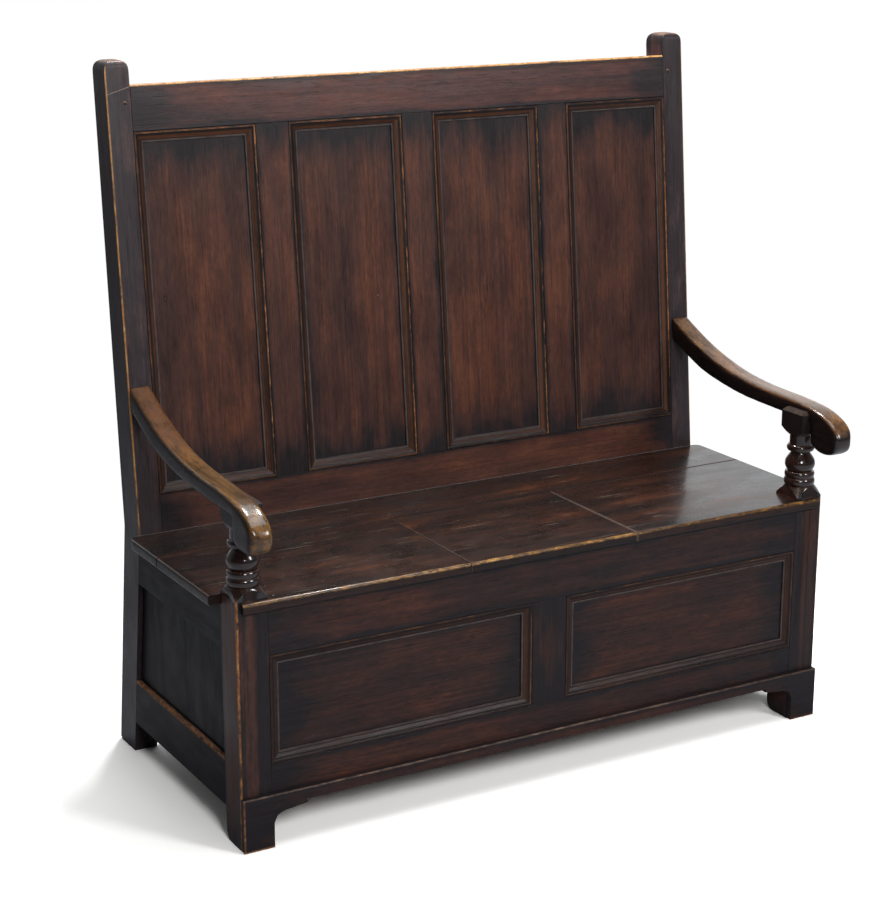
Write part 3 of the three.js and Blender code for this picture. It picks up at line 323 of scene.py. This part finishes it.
def oak(name, finish, centre, half, tilt, grain, seed, marks=()):
    """Polished oak over a board, with marks that each change its skin."""
    look = FINISHES[finish]
    board = Board(name, centre, half, tilt, grain, seed)
    tree = board.tree
    warmth = stain(board, look, grain)
    colour = tree.mix(tree.ramp(warmth, 0.08, 0.6), look["char"], look["warm"])
    colour = tree.mix(tree.ramp(warmth, 0.48, 1.05), colour, look["rust"])
    tone = tree.times(
        tree.ramp(board.fibres, 0.3, 0.7, 0.68, 1.32, "LINEAR"),
        tree.ramp(board.grit, 0.3, 0.7, 0.86, 1.14, "LINEAR"),
    )
    grey = tree.add("ShaderNodeCombineColor", {0: tone, 1: tone, 2: tone}).outputs[0]
    colour = tree.mix(1.0, colour, grey, "MULTIPLY")
    knot, glint_spot = knots(board)
    colour = tree.mix(tree.times(knot, 0.6), colour, PORE)
    # Painted highlight: pale glints in the middles of the knots
    colour = tree.mix(tree.times(glint_spot, 0.6), colour, GLINT)
    pore = tree.ramp(board.pores, 0.58, 0.7)
    colour = tree.mix(tree.times(pore, 0.55), colour, PORE)
    fleck = tree.ramp(board.grit, 0.7, 0.76)
    colour = tree.mix(tree.times(fleck, look["flecks"]), colour, FLECK)
    rough = tree.plus(
        tree.ramp(board.mottle, 0.3, 0.7, look["rough"] - 0.05, look["rough"] + 0.07),
        tree.swing(board.grit, 0.12),
    )
    height = tree.plus(
        tree.times(board.fibres, 0.5), tree.times(board.grit, 0.5),
        tree.times(pore, -0.5), tree.times(knot, -1.0),
    )
    normal = tree.add("ShaderNodeTexCoord").outputs["Normal"]
    board.facing = tree.add("ShaderNodeSeparateXYZ", {0: normal}).outputs
    coat = look["coat"]
    if finish == "seat":
        coat = tree.ramp(board.facing[2], 0.45, 0.85, 0.0, coat)
    if finish == "arm":
        towards = tree.math("MAXIMUM", board.facing[2], tree.math("MULTIPLY", board.facing[1], -1.0))
        coat = tree.ramp(towards, 0.25, 0.75, 0.0, coat)

    skin = Skin(colour, rough, height, coat)
    for mark in marks:
        mark(board, skin)

    fine = tree.add("ShaderNodeBump", {"Strength": 0.4, "Distance": GRAIN_DEPTH, "Height": skin.height})
    ripples = tree.plus(
        tree.noise(tree.stretch(board.along, 5.0, 20.0, 20.0), 1.0, 2.0, 0.5),
        tree.times(tree.noise(tree.stretch(board.along, 20.0, 70.0, 70.0), 1.0, 2.0, 0.5), 0.28),
    )
    bump = tree.add("ShaderNodeBump", {
        "Strength": 0.5, "Distance": RIPPLE_DEPTH, "Height": ripples, "Normal": fine.outputs[0],
    })
    surface = tree.add("ShaderNodeBsdfPrincipled", {
        "Base Color": skin.colour,
        "Roughness": skin.rough,
        "Normal": bump.outputs[0],
        "IOR": OAK_IOR,
        "Specular IOR Level": look["level"],
        "Coat Weight": skin.coat,
        "Coat Roughness": COAT_ROUGH,
        "Coat IOR": COAT_IOR,
    })
    return tree.finish(surface.outputs[0])


# Marks
def worn(faces, reach, amount, patchy=(0.3, 0.55), dull=HONEY, bright=GOLD, glint=0.55):
    """Stain rubbed away to golden wood along an arris, with dark pits and with painted highlights, pale
    glints, as much as glint gives.
    """
    def mark(board, skin):
        tree = board.tree
        rub = tree.times(board.arris(faces, reach, patchy), amount)
        golden = tree.mix(tree.ramp(board.grit, 0.38, 0.62), dull, bright)
        # Painted highlight: pale glints on the worn arris
        golden = tree.mix(tree.ramp(board.grit, 0.62, 0.68, 0.0, glint), golden, GLINT)
        golden = tree.mix(tree.ramp(board.scuff, 0.36, 0.44, 0.7, 0.0), golden, PORE)
        skin.colour = tree.mix(rub, skin.colour, golden)
        skin.height = tree.plus(skin.height, tree.times(rub, -0.4))
        skin.coat = tree.times(skin.coat, tree.ramp(rub, 0.0, 1.0, 1.0, 0.3, "LINEAR"))
    return mark


def band(axis, side, start, end, tint, amount):
    """A band of other colour that runs beside one face."""
    def mark(board, skin):
        tree = board.tree
        away = tree.plus(board.gap(axis, side), tree.swing(board.mottle, (end - start) * 0.9))
        fade = (end - start) * 0.35
        inside = tree.times(
            tree.ramp(away, start, start + fade), tree.ramp(away, end - fade, end, 1.0, 0.0),
        )
        streaky = tree.ramp(tree.plus(board.streaks, tree.swing(board.grit, 0.4)), 0.36, 0.62)
        skin.colour = tree.mix(tree.times(inside, streaky, amount), skin.colour, tint)
    return mark


def facing(axis, side, low, high, tints, amount, patchy=(0.35, 0.62)):
    """Faces that look one way along an axis take another pair of colours by the way they face: painted
    shade on sides turned from the lamps, and on upper and front faces a lighter tone that is partly wear
    and partly painted light.
    """
    def mark(board, skin):
        tree = board.tree
        part = tree.times(board.facing[axis], float(side))
        turned = tree.ramp(tree.plus(part, tree.swing(board.mottle, 0.5)), low, high)
        patches = tree.ramp(tree.plus(board.scuff, tree.swing(board.streaks, 0.5)), *patchy, 0.3, 1.0)
        # The tone of the turned faces, darker or lighter by the way they face (painted shade and painted
        # light), with dark pores
        side_tone = tree.mix(tree.ramp(board.streaks, 0.35, 0.65), *tints)
        side_tone = tree.mix(tree.times(tree.ramp(board.pores, 0.55, 0.66), 0.75), side_tone, PORE)
        skin.colour = tree.mix(tree.times(turned, patches, amount), skin.colour, side_tone)
    return mark


def above(level, tint, amount, polish, coat):
    """Everything over a height is darkened and given another roughness and coat: blackened and polished
    by hands on a turned support, and painted shade on the block under an arm.
    """
    def mark(board, skin):
        tree = board.tree
        up = tree.add("ShaderNodeSeparateXYZ", {0: board.object_place}).outputs[2]
        inside = tree.ramp(up, level - 0.002, level + 0.004)
        skin.colour = tree.mix(tree.times(inside, amount), skin.colour, tint)
        skin.rough = tree.mix_value(inside, skin.rough, polish)
        skin.coat = tree.mix_value(inside, skin.coat, coat)
    return mark


def scribed(start, end):
    """A thin line cut across a post's face, between two [x, z] places, painted pale as a highlight along
    its edge.
    """
    def mark(board, skin):
        tree = board.tree
        xyz = tree.add("ShaderNodeSeparateXYZ", {0: board.object_place}).outputs
        slope = (end[1] - start[1]) / (end[0] - start[0])
        line = tree.math("MULTIPLY_ADD", xyz[0], slope, start[1] - slope * start[0])
        away = tree.math("ABSOLUTE", tree.math("SUBTRACT", xyz[2], line))
        front = tree.ramp(board.gap(1, -1), 0.001, 0.002, 1.0, 0.0)
        cut = tree.times(tree.ramp(away, 0.0004, 0.0011, 1.0, 0.0), front)
        # Painted highlight: the cut line is paler than the face
        skin.colour = tree.mix(tree.times(cut, 0.55), skin.colour, rgb(150, 128, 118))
        skin.height = tree.plus(skin.height, tree.times(cut, -2.0))
    return mark


# Zones of a planted moulding, in metres in from its outer edge: where each starts, is full,
# stops being full and ends
BEAD = (0.0003, 0.0012, 0.0026, 0.004)
HOLLOW = (0.0048, 0.0056, 0.0062, 0.0075)
SLOPE = (0.0078, 0.0092, 0.0132, 0.0146)
LIP = (0.0150, 0.0164, 0.0180, 0.0188)
PAST_LIP = 0.55


def zone(tree, distance, limits, past=0.0):
    """One inside the limits of a zone, and another value past it."""
    start, full, last, end = limits
    return tree.times(
        tree.ramp(distance, start, full), tree.ramp(distance, last, end, 1.0, past),
    )


def planted(gold):
    """The moulding's bead is rubbed golden and its slope warmed, most on the right and the top, where
    painted light adds to the wear; its lip takes a pale painted sheen and its groove painted shade.
    """
    def mark(board, skin):
        tree = board.tree
        out = tree.math("MINIMUM", board.gaps[0], board.gaps[2])
        upright = tree.math("LESS_THAN", board.gaps[0], board.gaps[2])
        right = tree.math("GREATER_THAN", board.axes[0], 0.0)
        over = tree.math("GREATER_THAN", board.axes[2], 0.0)
        # Painted light with the wear: the right uprights and the top member, which face the lamps, take
        # more
        verticals = tree.math("MULTIPLY_ADD", right, 0.6, 0.3)
        levels = tree.math("MULTIPLY_ADD", over, 0.5, 0.2)
        wear_and_light_share = tree.mix_value(upright, levels, verticals)
        bead = zone(tree, out, BEAD)
        patches = tree.ramp(tree.plus(board.scuff, tree.swing(board.drift, 0.9)), 0.36, 0.66)
        golden = tree.mix(tree.ramp(board.grit, 0.35, 0.65), rgb(104, 62, 36), rgb(176, 118, 66))
        colour = tree.mix(tree.times(bead, patches, wear_and_light_share, gold), skin.colour, golden)
        # A warm tone on the slope: partly wear, partly painted light
        slope = zone(tree, out, SLOPE)
        rubbed = tree.ramp(tree.plus(board.streaks, tree.swing(board.grit, 0.4)), 0.35, 0.62, 0.3, 1.0)
        colour = tree.mix(tree.times(slope, rubbed, wear_and_light_share, gold, 0.75), colour, rgb(112, 68, 42))
        # Painted sheen: a pale grey line along the lip
        lip = zone(tree, out, LIP, PAST_LIP)
        lip_sheen = tree.mix_value(upright, tree.math("MULTIPLY_ADD", over, 0.1, 0.36), 0.4)
        pale = tree.times(lip, tree.ramp(board.scuff, 0.3, 0.6, 0.3, 1.0), lip_sheen)
        colour = tree.mix(pale, colour, rgb(104, 96, 92))
        # Painted shade in the groove beside the bead
        groove_shade = zone(tree, out, HOLLOW)
        skin.colour = tree.mix(tree.times(groove_shade, 0.7), colour, PORE)
    return mark


def trodden(board, skin):
    """Fine scratches and pale specks on the seat."""
    tree = board.tree
    lines = tree.noise(tree.stretch(board.along, 9.0, 300.0, 300.0, (4, 2, 1)), 1.0, 1.0, 0.4, 0.2)
    where = tree.noise(tree.stretch(board.along, 9.0, 14.0, 14.0, (1, 5, 2)), 1.0, 2.0)
    scratches = tree.times(tree.ramp(lines, 0.7, 0.75), tree.ramp(where, 0.46, 0.6))
    dots = tree.noise(board.along, 260.0, 1.0, 0.4)
    specks = tree.times(tree.ramp(dots, 0.73, 0.78), tree.ramp(where, 0.42, 0.55))
    pale = tree.plus(tree.times(scratches, 0.4), tree.times(specks, 0.6))
    skin.colour = tree.mix(pale, skin.colour, rgb(158, 140, 126))
    smears = tree.noise(tree.stretch(board.along, 7.0, 9.0, 9.0), 2.0, 4.0, 0.65)
    skin.rough = tree.plus(skin.rough, tree.swing(smears, 0.2), tree.times(scratches, 0.2))
    skin.height = tree.plus(skin.height, tree.times(pale, -0.8))


# How far in from a joint the polish is worn off, in metres
SEAM_DULL = 0.003


def seam(axis, side, width, tint, amount):
    """A thin worn line, without polish, where a board meets the next."""
    def mark(board, skin):
        tree = board.tree
        line = tree.ramp(board.gap(axis, side), width * 0.5, width, 1.0, 0.0)
        broken = tree.ramp(board.scuff, 0.25, 0.5, 0.45, 1.0)
        skin.colour = tree.mix(tree.times(line, broken, amount), skin.colour, tint)
        unpolished = tree.ramp(board.gap(axis, side), SEAM_DULL, SEAM_DULL * 1.5, 1.0, 0.0)
        skin.rough = tree.mix_value(unpolished, skin.rough, 0.75)
        skin.coat = tree.mix_value(unpolished, skin.coat, 0.0)
    return mark


def rearward(start, end, tint, amount):
    """The upper face is warmer towards the back, between two distances from the middle."""
    def mark(board, skin):
        tree = board.tree
        warm = tree.times(
            tree.ramp(board.axes[1], start, end), tree.ramp(board.facing[2], 0.1, 0.8),
            tree.ramp(board.streaks, 0.3, 0.6, 0.4, 1.0),
        )
        skin.colour = tree.mix(tree.times(warm, amount), skin.colour, tint)
    return mark


def ringed(board, skin):
    """A peg's end grain, paler round its rim."""
    tree = board.tree
    squares = tree.plus(*(tree.times(board.axes[i], board.axes[i]) for i in (0, 2)))
    away = tree.math("DIVIDE", tree.math("SQRT", squares), board.half[0])
    skin.colour = tree.mix(tree.ramp(away, 0.6, 0.9, 0.0, 0.6), skin.colour, rgb(156, 124, 104))


def local_box(node, tilt):
    """Centre and half sizes of a node in a frame tilted about x."""
    turn = Matrix.Rotation(-tilt, 3, "X")
    points = [turn @ v.co for v in nodes[node].data.vertices]
    low = Vector([min(p[i] for p in points) for i in range(3)])
    high = Vector([max(p[i] for p in points) for i in range(3)])
    centre = Matrix.Rotation(tilt, 3, "X") @ ((low + high) / 2)
    return centre, (high - low) / 2


def raked_post_box(side):
    """The upper part of a back post, in the slope of the back."""
    length = (POST_TOP - SEAT) / math.cos(BACK_RAKE)
    inside = Vector((side * (HALF_WIDTH - POST_WIDTH / 2), POST_DEPTH / 2, length / 2))
    centre = Matrix.Rotation(BACK_RAKE, 3, "X") @ inside + Vector((0, BOX_BACK, SEAT))
    return centre, Vector((POST_WIDTH / 2, POST_DEPTH / 2, length / 2))


# Faces, as an axis and a side of it
LEFT = (0, -1)
RIGHT = (0, 1)
FRONT = (1, -1)
LOW = (2, -1)
TOP = (2, 1)
# How far the square block under an arm reaches down from its post's top, less its cut corners
POST_BLOCK = 0.046
BRASS = rgb(168, 112, 58)
NOSE_WEAR = {"seat_front_board_left": 0.8, "seat_lid": 1.0, "seat_front_board_right": 0.6}
UMBER = rgb(118, 70, 38)
TAN = rgb(168, 118, 78)
CUT_EDGE = rgb(164, 152, 146)


def dress_of(name):
    """(finish, grain, tilt, trims of the hidden tenons or tongues, marks) of a node."""
    left = name.endswith("left")
    outer = LEFT if left else RIGHT
    if name.startswith("back_post"):
        reach, amount = (0.0038, 0.7) if left else (0.003, 0.4)
        marks = [
            # Painted shade: the outer side of the post, turned from the lamps, is darkened
            facing(0, outer[1], 0.7, 0.9, (rgb(26, 21, 28), rgb(34, 26, 34)), 0.85, (0.1, 0.3)),
            worn((outer, FRONT), reach, amount, (0.34, 0.54), BRASS, rgb(206, 152, 88)),
            # Upper faces lighter: partly wear, partly painted light from above
            facing(2, 1, 0.6, 0.9, (UMBER, TAN), 0.5),
        ]
        if left:
            marks.append(scribed((-0.6065, 1.2275), (-0.5647, 1.2397)))
        return "post", "Z", BACK_RAKE, (0, 0, 0), marks
    if name.startswith("front_post"):
        marks = [
            band(0, outer[1], 0.004, 0.038, rgb(94, 57, 42), 0.45 if left else 0.3),
            worn((outer, FRONT), 0.0056 if left else 0.003, 0.9 if left else 0.4,
                 (0.34, 0.52), UMBER, BRASS),
            above(SEAT + 0.001, rgb(25, 19, 19), 0.8, 0.17, 1.0),
            # Painted shade: the block under the arm is darkened, and dulled by its roughness and coat
            above(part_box(name)[1][2] - POST_BLOCK, rgb(30, 23, 23), 0.5, 0.5, 0.1),
            # Upper faces lighter: partly wear, partly painted light from above
            facing(2, 1, 0.5, 0.75, (UMBER, TAN), 0.12),
        ]
        return "frame", "Z", 0, (0, 0, 0), marks
    if name.startswith("back_panel"):
        return "panel", "Z", BACK_RAKE, (TONGUE, 0, TONGUE), []
    if name.startswith("back_moulding"):
        return "moulding", "ring", BACK_RAKE, (0, 0, 0), [planted(0.85)]
    if name.startswith("back_muntin"):
        return "frame", "Z", BACK_RAKE, (0, 0, TENON), []
    if name == "back_top_rail":
        marks = [
            # Painted shade: a dark band just under the top arris
            band(2, 1, 0.003, 0.013, PORE, 0.65),
            worn((FRONT, TOP), 0.0042, 0.95, (0.22, 0.42), BRASS, rgb(222, 172, 104)),
            # Upper face lighter: partly wear, partly painted light from above
            facing(2, 1, 0.5, 0.8, (UMBER, TAN), 0.6),
        ]
        return "top", "X", BACK_RAKE, (BACK_TENON, 0, 0), marks
    if name == "back_bottom_rail":
        marks = [worn((FRONT, LOW), 0.004, 0.6, (0.35, 0.6), rgb(112, 58, 36), rgb(160, 98, 64), 0.2)]
        return "frame", "X", BACK_RAKE, (BACK_TENON, 0, 0), marks
    if name.startswith("box_back_panel"):
        return "inner", "X", LEG_SPLAY, (TONGUE, 0, TONGUE), []
    if name.startswith("box_back_muntin"):
        return "inner", "Z", LEG_SPLAY, (0, 0, TENON), []
    if name.startswith("box_back"):
        return "inner", "X", LEG_SPLAY, (BACK_TENON, 0, 0), []
    if name.startswith("front_panel"):
        return "front", "X", 0, (TONGUE, 0, TONGUE), []
    if name.startswith("front_moulding"):
        return "moulding", "ring", 0, (0, 0, 0), [planted(0.28)]
    if name == "front_muntin":
        return "rail", "Z", 0, (0, 0, TENON), []
    if name in ("front_top_rail", "front_bottom_rail"):
        return "rail", "X", 0, (TENON, 0, 0), []
    if name.startswith("side_panel"):
        return "side", "Z", 0, (0, TONGUE, TONGUE), []
    if name.startswith("side_bottom_rail"):
        marks = [worn((outer, TOP), 0.009, 0.75, (0.4, 0.6), UMBER, TAN)]
        return "side", "Y", 0, (0, TENON, 0), marks
    if name.startswith("side_"):
        return "side", "Y", 0, (0, TENON, 0), []
    if name in ("seat_bearer_left", "seat_bearer_right"):
        return "inner", "Y", 0, (0, 0, 0), []
    if name.startswith("seat_bearer") or name.startswith("floor_"):
        return "inner", "X", 0, (0, 0, 0), []
    if name == "seat_rear_board":
        return "seat", "X", 0, (0, 0, 0), [
            # Painted shade: the front face, seen in the gap behind the lid, is made black
            trodden, facing(1, -1, 0.3, 0.8, (PORE, PORE), 1.0, (0.0, 0.1)),
            seam(1, -1, 0.0016, rgb(84, 56, 40), 0.45),
            seam(1, 1, 0.0024, rgb(128, 130, 130), 0.8),
            # Painted shade: faces turned to the left, away from the lamps, are darkened
            facing(0, -1, 0.4, 0.8, (rgb(20, 17, 20), rgb(30, 24, 25)), 0.95, (0.1, 0.3)),
            worn((LEFT, LOW), 0.0026, 0.8, (0.2, 0.4), CUT_EDGE, CUT_EDGE, 0.0),
        ]
    if name.startswith("seat_"):
        marks = [
            trodden,
            # Painted shade: faces turned to the front are darkened
            facing(1, -1, 0.3, 0.8, (rgb(24, 19, 20), rgb(46, 31, 26)), 0.9, (0.1, 0.3)),
            # Painted shade: faces turned to the left, away from the lamps, are darkened
            facing(0, -1, 0.4, 0.8, (rgb(20, 17, 20), rgb(30, 24, 25)), 0.95, (0.1, 0.3)),
            worn((FRONT, TOP), 0.0064, NOSE_WEAR[name], (0.44, 0.58),
                 rgb(84, 58, 30), rgb(172, 124, 58), 0.2),
        ]
        if name == "seat_lid":
            marks.append(seam(0, 1, 0.0016, rgb(140, 116, 104), 0.45))
            marks.append(seam(0, -1, 0.0014, rgb(120, 90, 74), 0.5))
            marks.append(seam(1, 1, 0.0036, rgb(112, 72, 42), 0.8))
        if name == "seat_front_board_left":
            marks.append(worn((LEFT, TOP), 0.003, 0.6, (0.3, 0.5), UMBER, HONEY, 0.2))
            marks.append(worn((LEFT, LOW), 0.0026, 0.8, (0.2, 0.4), CUT_EDGE, CUT_EDGE, 0.0))
        if name == "seat_front_board_right":
            marks.append(seam(0, -1, 0.0014, rgb(140, 116, 104), 0.45))
        return "seat", "X", 0, (0, 0, 0), marks
    if name.startswith("arm_"):
        olive = (rgb(72, 50, 27), rgb(128, 90, 43)) if left else (rgb(84, 58, 36), rgb(134, 92, 54))
        # Upper faces lighter olive: partly worn by hands, partly painted light from above
        marks = [facing(2, 1, 0.2, 0.9, olive, 0.9, (0.1, 0.34))]
        if left:
            # Front faces of the left arm lighter: partly wear, partly painted light
            marks.append(facing(1, -1, 0.1, 0.8, olive, 0.8, (0.1, 0.34)))
            marks.append(rearward(-0.05, 0.12, rgb(100, 58, 32), 0.75))
        return "arm", "Y", 0, (0, 0, 0), marks
    if name == "bracket_plinth":
        marks = [
            worn((FRONT, TOP), 0.004, 0.6, (0.4, 0.65), rgb(92, 62, 48), rgb(140, 112, 92)),
            worn((LEFT, FRONT), 0.0036, 0.7, (0.35, 0.6), UMBER, TAN),
            worn((FRONT, LOW), 0.004, 0.6, (0.35, 0.6), UMBER, TAN),
        ]
        return "rail", "X", 0, (0, 0, 0), marks
    return "rail", "Y", 0, (0, 0, 0), [ringed]


def iron(name):
    """Old iron, pitted and partly rusted."""
    tree = Tree(name)
    place = tree.add("ShaderNodeTexCoord").outputs["Object"]
    pits = tree.noise(place, 420.0, 6.0, 0.7)
    rust = tree.noise(place, 90.0, 4.0, 0.6)
    colour = tree.mix(tree.ramp(rust, 0.45, 0.65), rgb(52, 48, 46), rgb(92, 52, 32))
    rough = tree.ramp(rust, 0.4, 0.7, 0.42, 0.75)
    bump = tree.add("ShaderNodeBump", {"Strength": 0.4, "Distance": 0.0004, "Height": pits})
    surface = tree.add("ShaderNodeBsdfPrincipled", {
        "Base Color": colour, "Roughness": rough, "Normal": bump.outputs[0], "Metallic": 0.85,
    })
    return tree.finish(surface.outputs[0])


WELD_DISTANCE = 0.00002
FLAT_ANGLE = math.radians(0.5)
ARRIS_ANGLE = math.radians(40)
BEVEL_STEPS = 2


def soften(piece, width):
    """Joins the imported facets and rounds the arrises."""
    mesh = piece.data
    if "custom_normal" in mesh.attributes:
        mesh.attributes.remove(mesh.attributes["custom_normal"])
    for polygon in mesh.polygons:
        polygon.use_smooth = True
    weld = piece.modifiers.new("weld", "WELD")
    weld.merge_threshold = WELD_DISTANCE
    flat = piece.modifiers.new("flat", "DECIMATE")
    flat.decimate_type = "DISSOLVE"
    flat.angle_limit = FLAT_ANGLE
    bevel = piece.modifiers.new("bevel", "BEVEL")
    bevel.width = width
    bevel.segments = BEVEL_STEPS
    bevel.limit_method = "ANGLE"
    bevel.angle_limit = ARRIS_ANGLE
    bevel.harden_normals = True
    bevel.use_clamp_overlap = True


def rub_round(piece, voxel, passes):
    """Rubs a piece round, as hands do: its surface is remeshed and its arrises smoothed."""
    remesh = piece.modifiers.new("remesh", "REMESH")
    remesh.mode = "VOXEL"
    remesh.voxel_size = voxel
    remesh.use_smooth_shade = True
    smooth = piece.modifiers.new("smooth", "SMOOTH")
    smooth.factor = 0.5
    smooth.iterations = passes


ARM_VOXEL = 0.0022
ARM_PASSES = 56
IRON_BEVEL = 0.0003
LEAST_HALF = 0.001
iron_finish = iron("iron_hinge")
BEVELS = {
    "frame": 0.0009, "post": 0.0009, "top": 0.0011, "panel": 0.0005, "front": 0.0005, "rail": 0.0007,
    "side": 0.0008, "moulding": 0.0006, "seat": 0.0005, "arm": 0.0008, "inner": 0.0009,
}
for order, name in enumerate(sorted(nodes)):
    piece = nodes[name]
    piece.data.materials.clear()
    if name.startswith("hinge"):
        piece.data.materials.append(iron_finish)
        soften(piece, IRON_BEVEL)
        continue
    finish, grain, tilt, trims, marks = dress_of(name)
    if name.startswith("back_post"):
        centre, half = raked_post_box(-1 if name.endswith("left") else 1)
    else:
        centre, half = local_box(name, tilt)
    half = Vector(max(half[i] - trims[i], LEAST_HALF) for i in range(3))
    piece.data.materials.append(oak(f"oak_{name}", finish, centre, half, tilt, grain, order + 1, marks))
    soften(piece, BEVELS[finish])
    if name.startswith("arm_"):
        rub_round(piece, ARM_VOXEL, ARM_PASSES)

# Floor: white to the camera far away, and taking the settle's shadow near it
FLOOR_SIZE = 40
FLOOR_DROP = 0.0005
bpy.ops.mesh.primitive_plane_add(size=FLOOR_SIZE, location=(0, 0, -FLOOR_DROP))
floor = bpy.context.object
floor.name = "studio_floor"
tree = Tree("studio_floor")
ray = tree.add("ShaderNodeLightPath").outputs
place = tree.add("ShaderNodeTexCoord").outputs["Object"]
away = tree.add("ShaderNodeVectorMath", {0: place}, operation="LENGTH").outputs["Value"]
far = tree.ramp(away, 0.75, 1.8)
plain = tree.add("ShaderNodeBsdfDiffuse", {"Color": (0.4, 0.41, 0.44, 1)})
glow = tree.mix_value(far, 0.0, 1.02)
bright = tree.add("ShaderNodeEmission", {"Color": (1, 1, 1, 1), "Strength": glow})
paper = tree.mix(far, (1.56, 1.545, 1.52, 1), (0, 0, 0, 1))
near = tree.add("ShaderNodeBsdfDiffuse", {"Color": paper})
seen = tree.add("ShaderNodeAddShader")
tree.links.new(bright.outputs[0], seen.inputs[0])
tree.links.new(near.outputs[0], seen.inputs[1])
choose = tree.add("ShaderNodeMixShader", {0: ray["Is Camera Ray"]})
tree.links.new(plain.outputs[0], choose.inputs[1])
tree.links.new(seen.outputs[0], choose.inputs[2])
floor.data.materials.append(tree.finish(choose.outputs[0]))

# World: white to the camera, and bright behind the settle, most of all on the right
world = bpy.data.worlds.new("studio")
scene.world = world
world.use_nodes = True
world.node_tree.nodes.clear()
wn, wl = world.node_tree.nodes, world.node_tree.links
path = wn.new("ShaderNodeLightPath")
toward = wn.new("ShaderNodeTexCoord")
split = wn.new("ShaderNodeSeparateXYZ")


def world_ramp(low, high, to_low, to_high):
    """A smooth change of the world's strength along one direction."""
    node = wn.new("ShaderNodeMapRange")
    node.interpolation_type = "SMOOTHSTEP"
    for socket, value in enumerate((low, high, to_low, to_high), 1):
        node.inputs[socket].default_value = value
    return node


behind = world_ramp(0.05, 0.7, 0.14, 1.0)
rightward = world_ramp(-0.45, 0.1, 0.22, 1.0)
strength = wn.new("ShaderNodeMath")
strength.operation = "MULTIPLY"
dim = wn.new("ShaderNodeBackground")
dim.inputs[0].default_value = (0.96, 0.98, 1, 1)
white = wn.new("ShaderNodeBackground")
white.inputs[0].default_value = (1, 1, 1, 1)
white.inputs[1].default_value = 1.0
both = wn.new("ShaderNodeMixShader")
world_out = wn.new("ShaderNodeOutputWorld")
wl.new(toward.outputs["Generated"], split.inputs[0])
wl.new(split.outputs[1], behind.inputs[0])
wl.new(split.outputs[0], rightward.inputs[0])
wl.new(behind.outputs[0], strength.inputs[0])
wl.new(rightward.outputs[0], strength.inputs[1])
wl.new(strength.outputs[0], dim.inputs[1])
wl.new(path.outputs["Is Camera Ray"], both.inputs[0])
wl.new(dim.outputs[0], both.inputs[1])
wl.new(white.outputs[0], both.inputs[2])
wl.new(both.outputs[0], world_out.inputs[0])


def softbox(name, place, target, width, height, power):
    """A rectangular light, sized in metres and powered in watts, that faces a target."""
    data = bpy.data.lights.new(name, "AREA")
    data.shape = "RECTANGLE"
    data.size = width
    data.size_y = height
    data.energy = power
    lamp = bpy.data.objects.new(name, data)
    lamp.location = place
    lamp.rotation_euler = (Vector(target) - Vector(place)).to_track_quat("-Z", "Y").to_euler()
    scene.collection.objects.link(lamp)


KEY_SIZE = (0.8, 1.2)
TOP_SIZE = (2.2, 1.5)
STRIP_SIZE = (0.12, 0.4)
STRIP_POWER = 22
STRIPS = {"left": -0.03, "right": 0.64}
softbox("key_left", (-1.2, -3.9, 2.6), (0, 0, 0.6), *KEY_SIZE, 80)
softbox("key_right", (1.8, -3.5, 2.7), (0, 0, 0.6), *KEY_SIZE, 72)
softbox("top", (0.2, -0.6, 3.4), (0, 0, 0.4), *TOP_SIZE, 42)
for side, across in STRIPS.items():
    softbox(f"strip_{side}", (across, 0.7, 2.6), (across, -0.2, SEAT), *STRIP_SIZE, STRIP_POWER)

scene.view_settings.view_transform = "Standard"

bpy.context.view_layer.update()
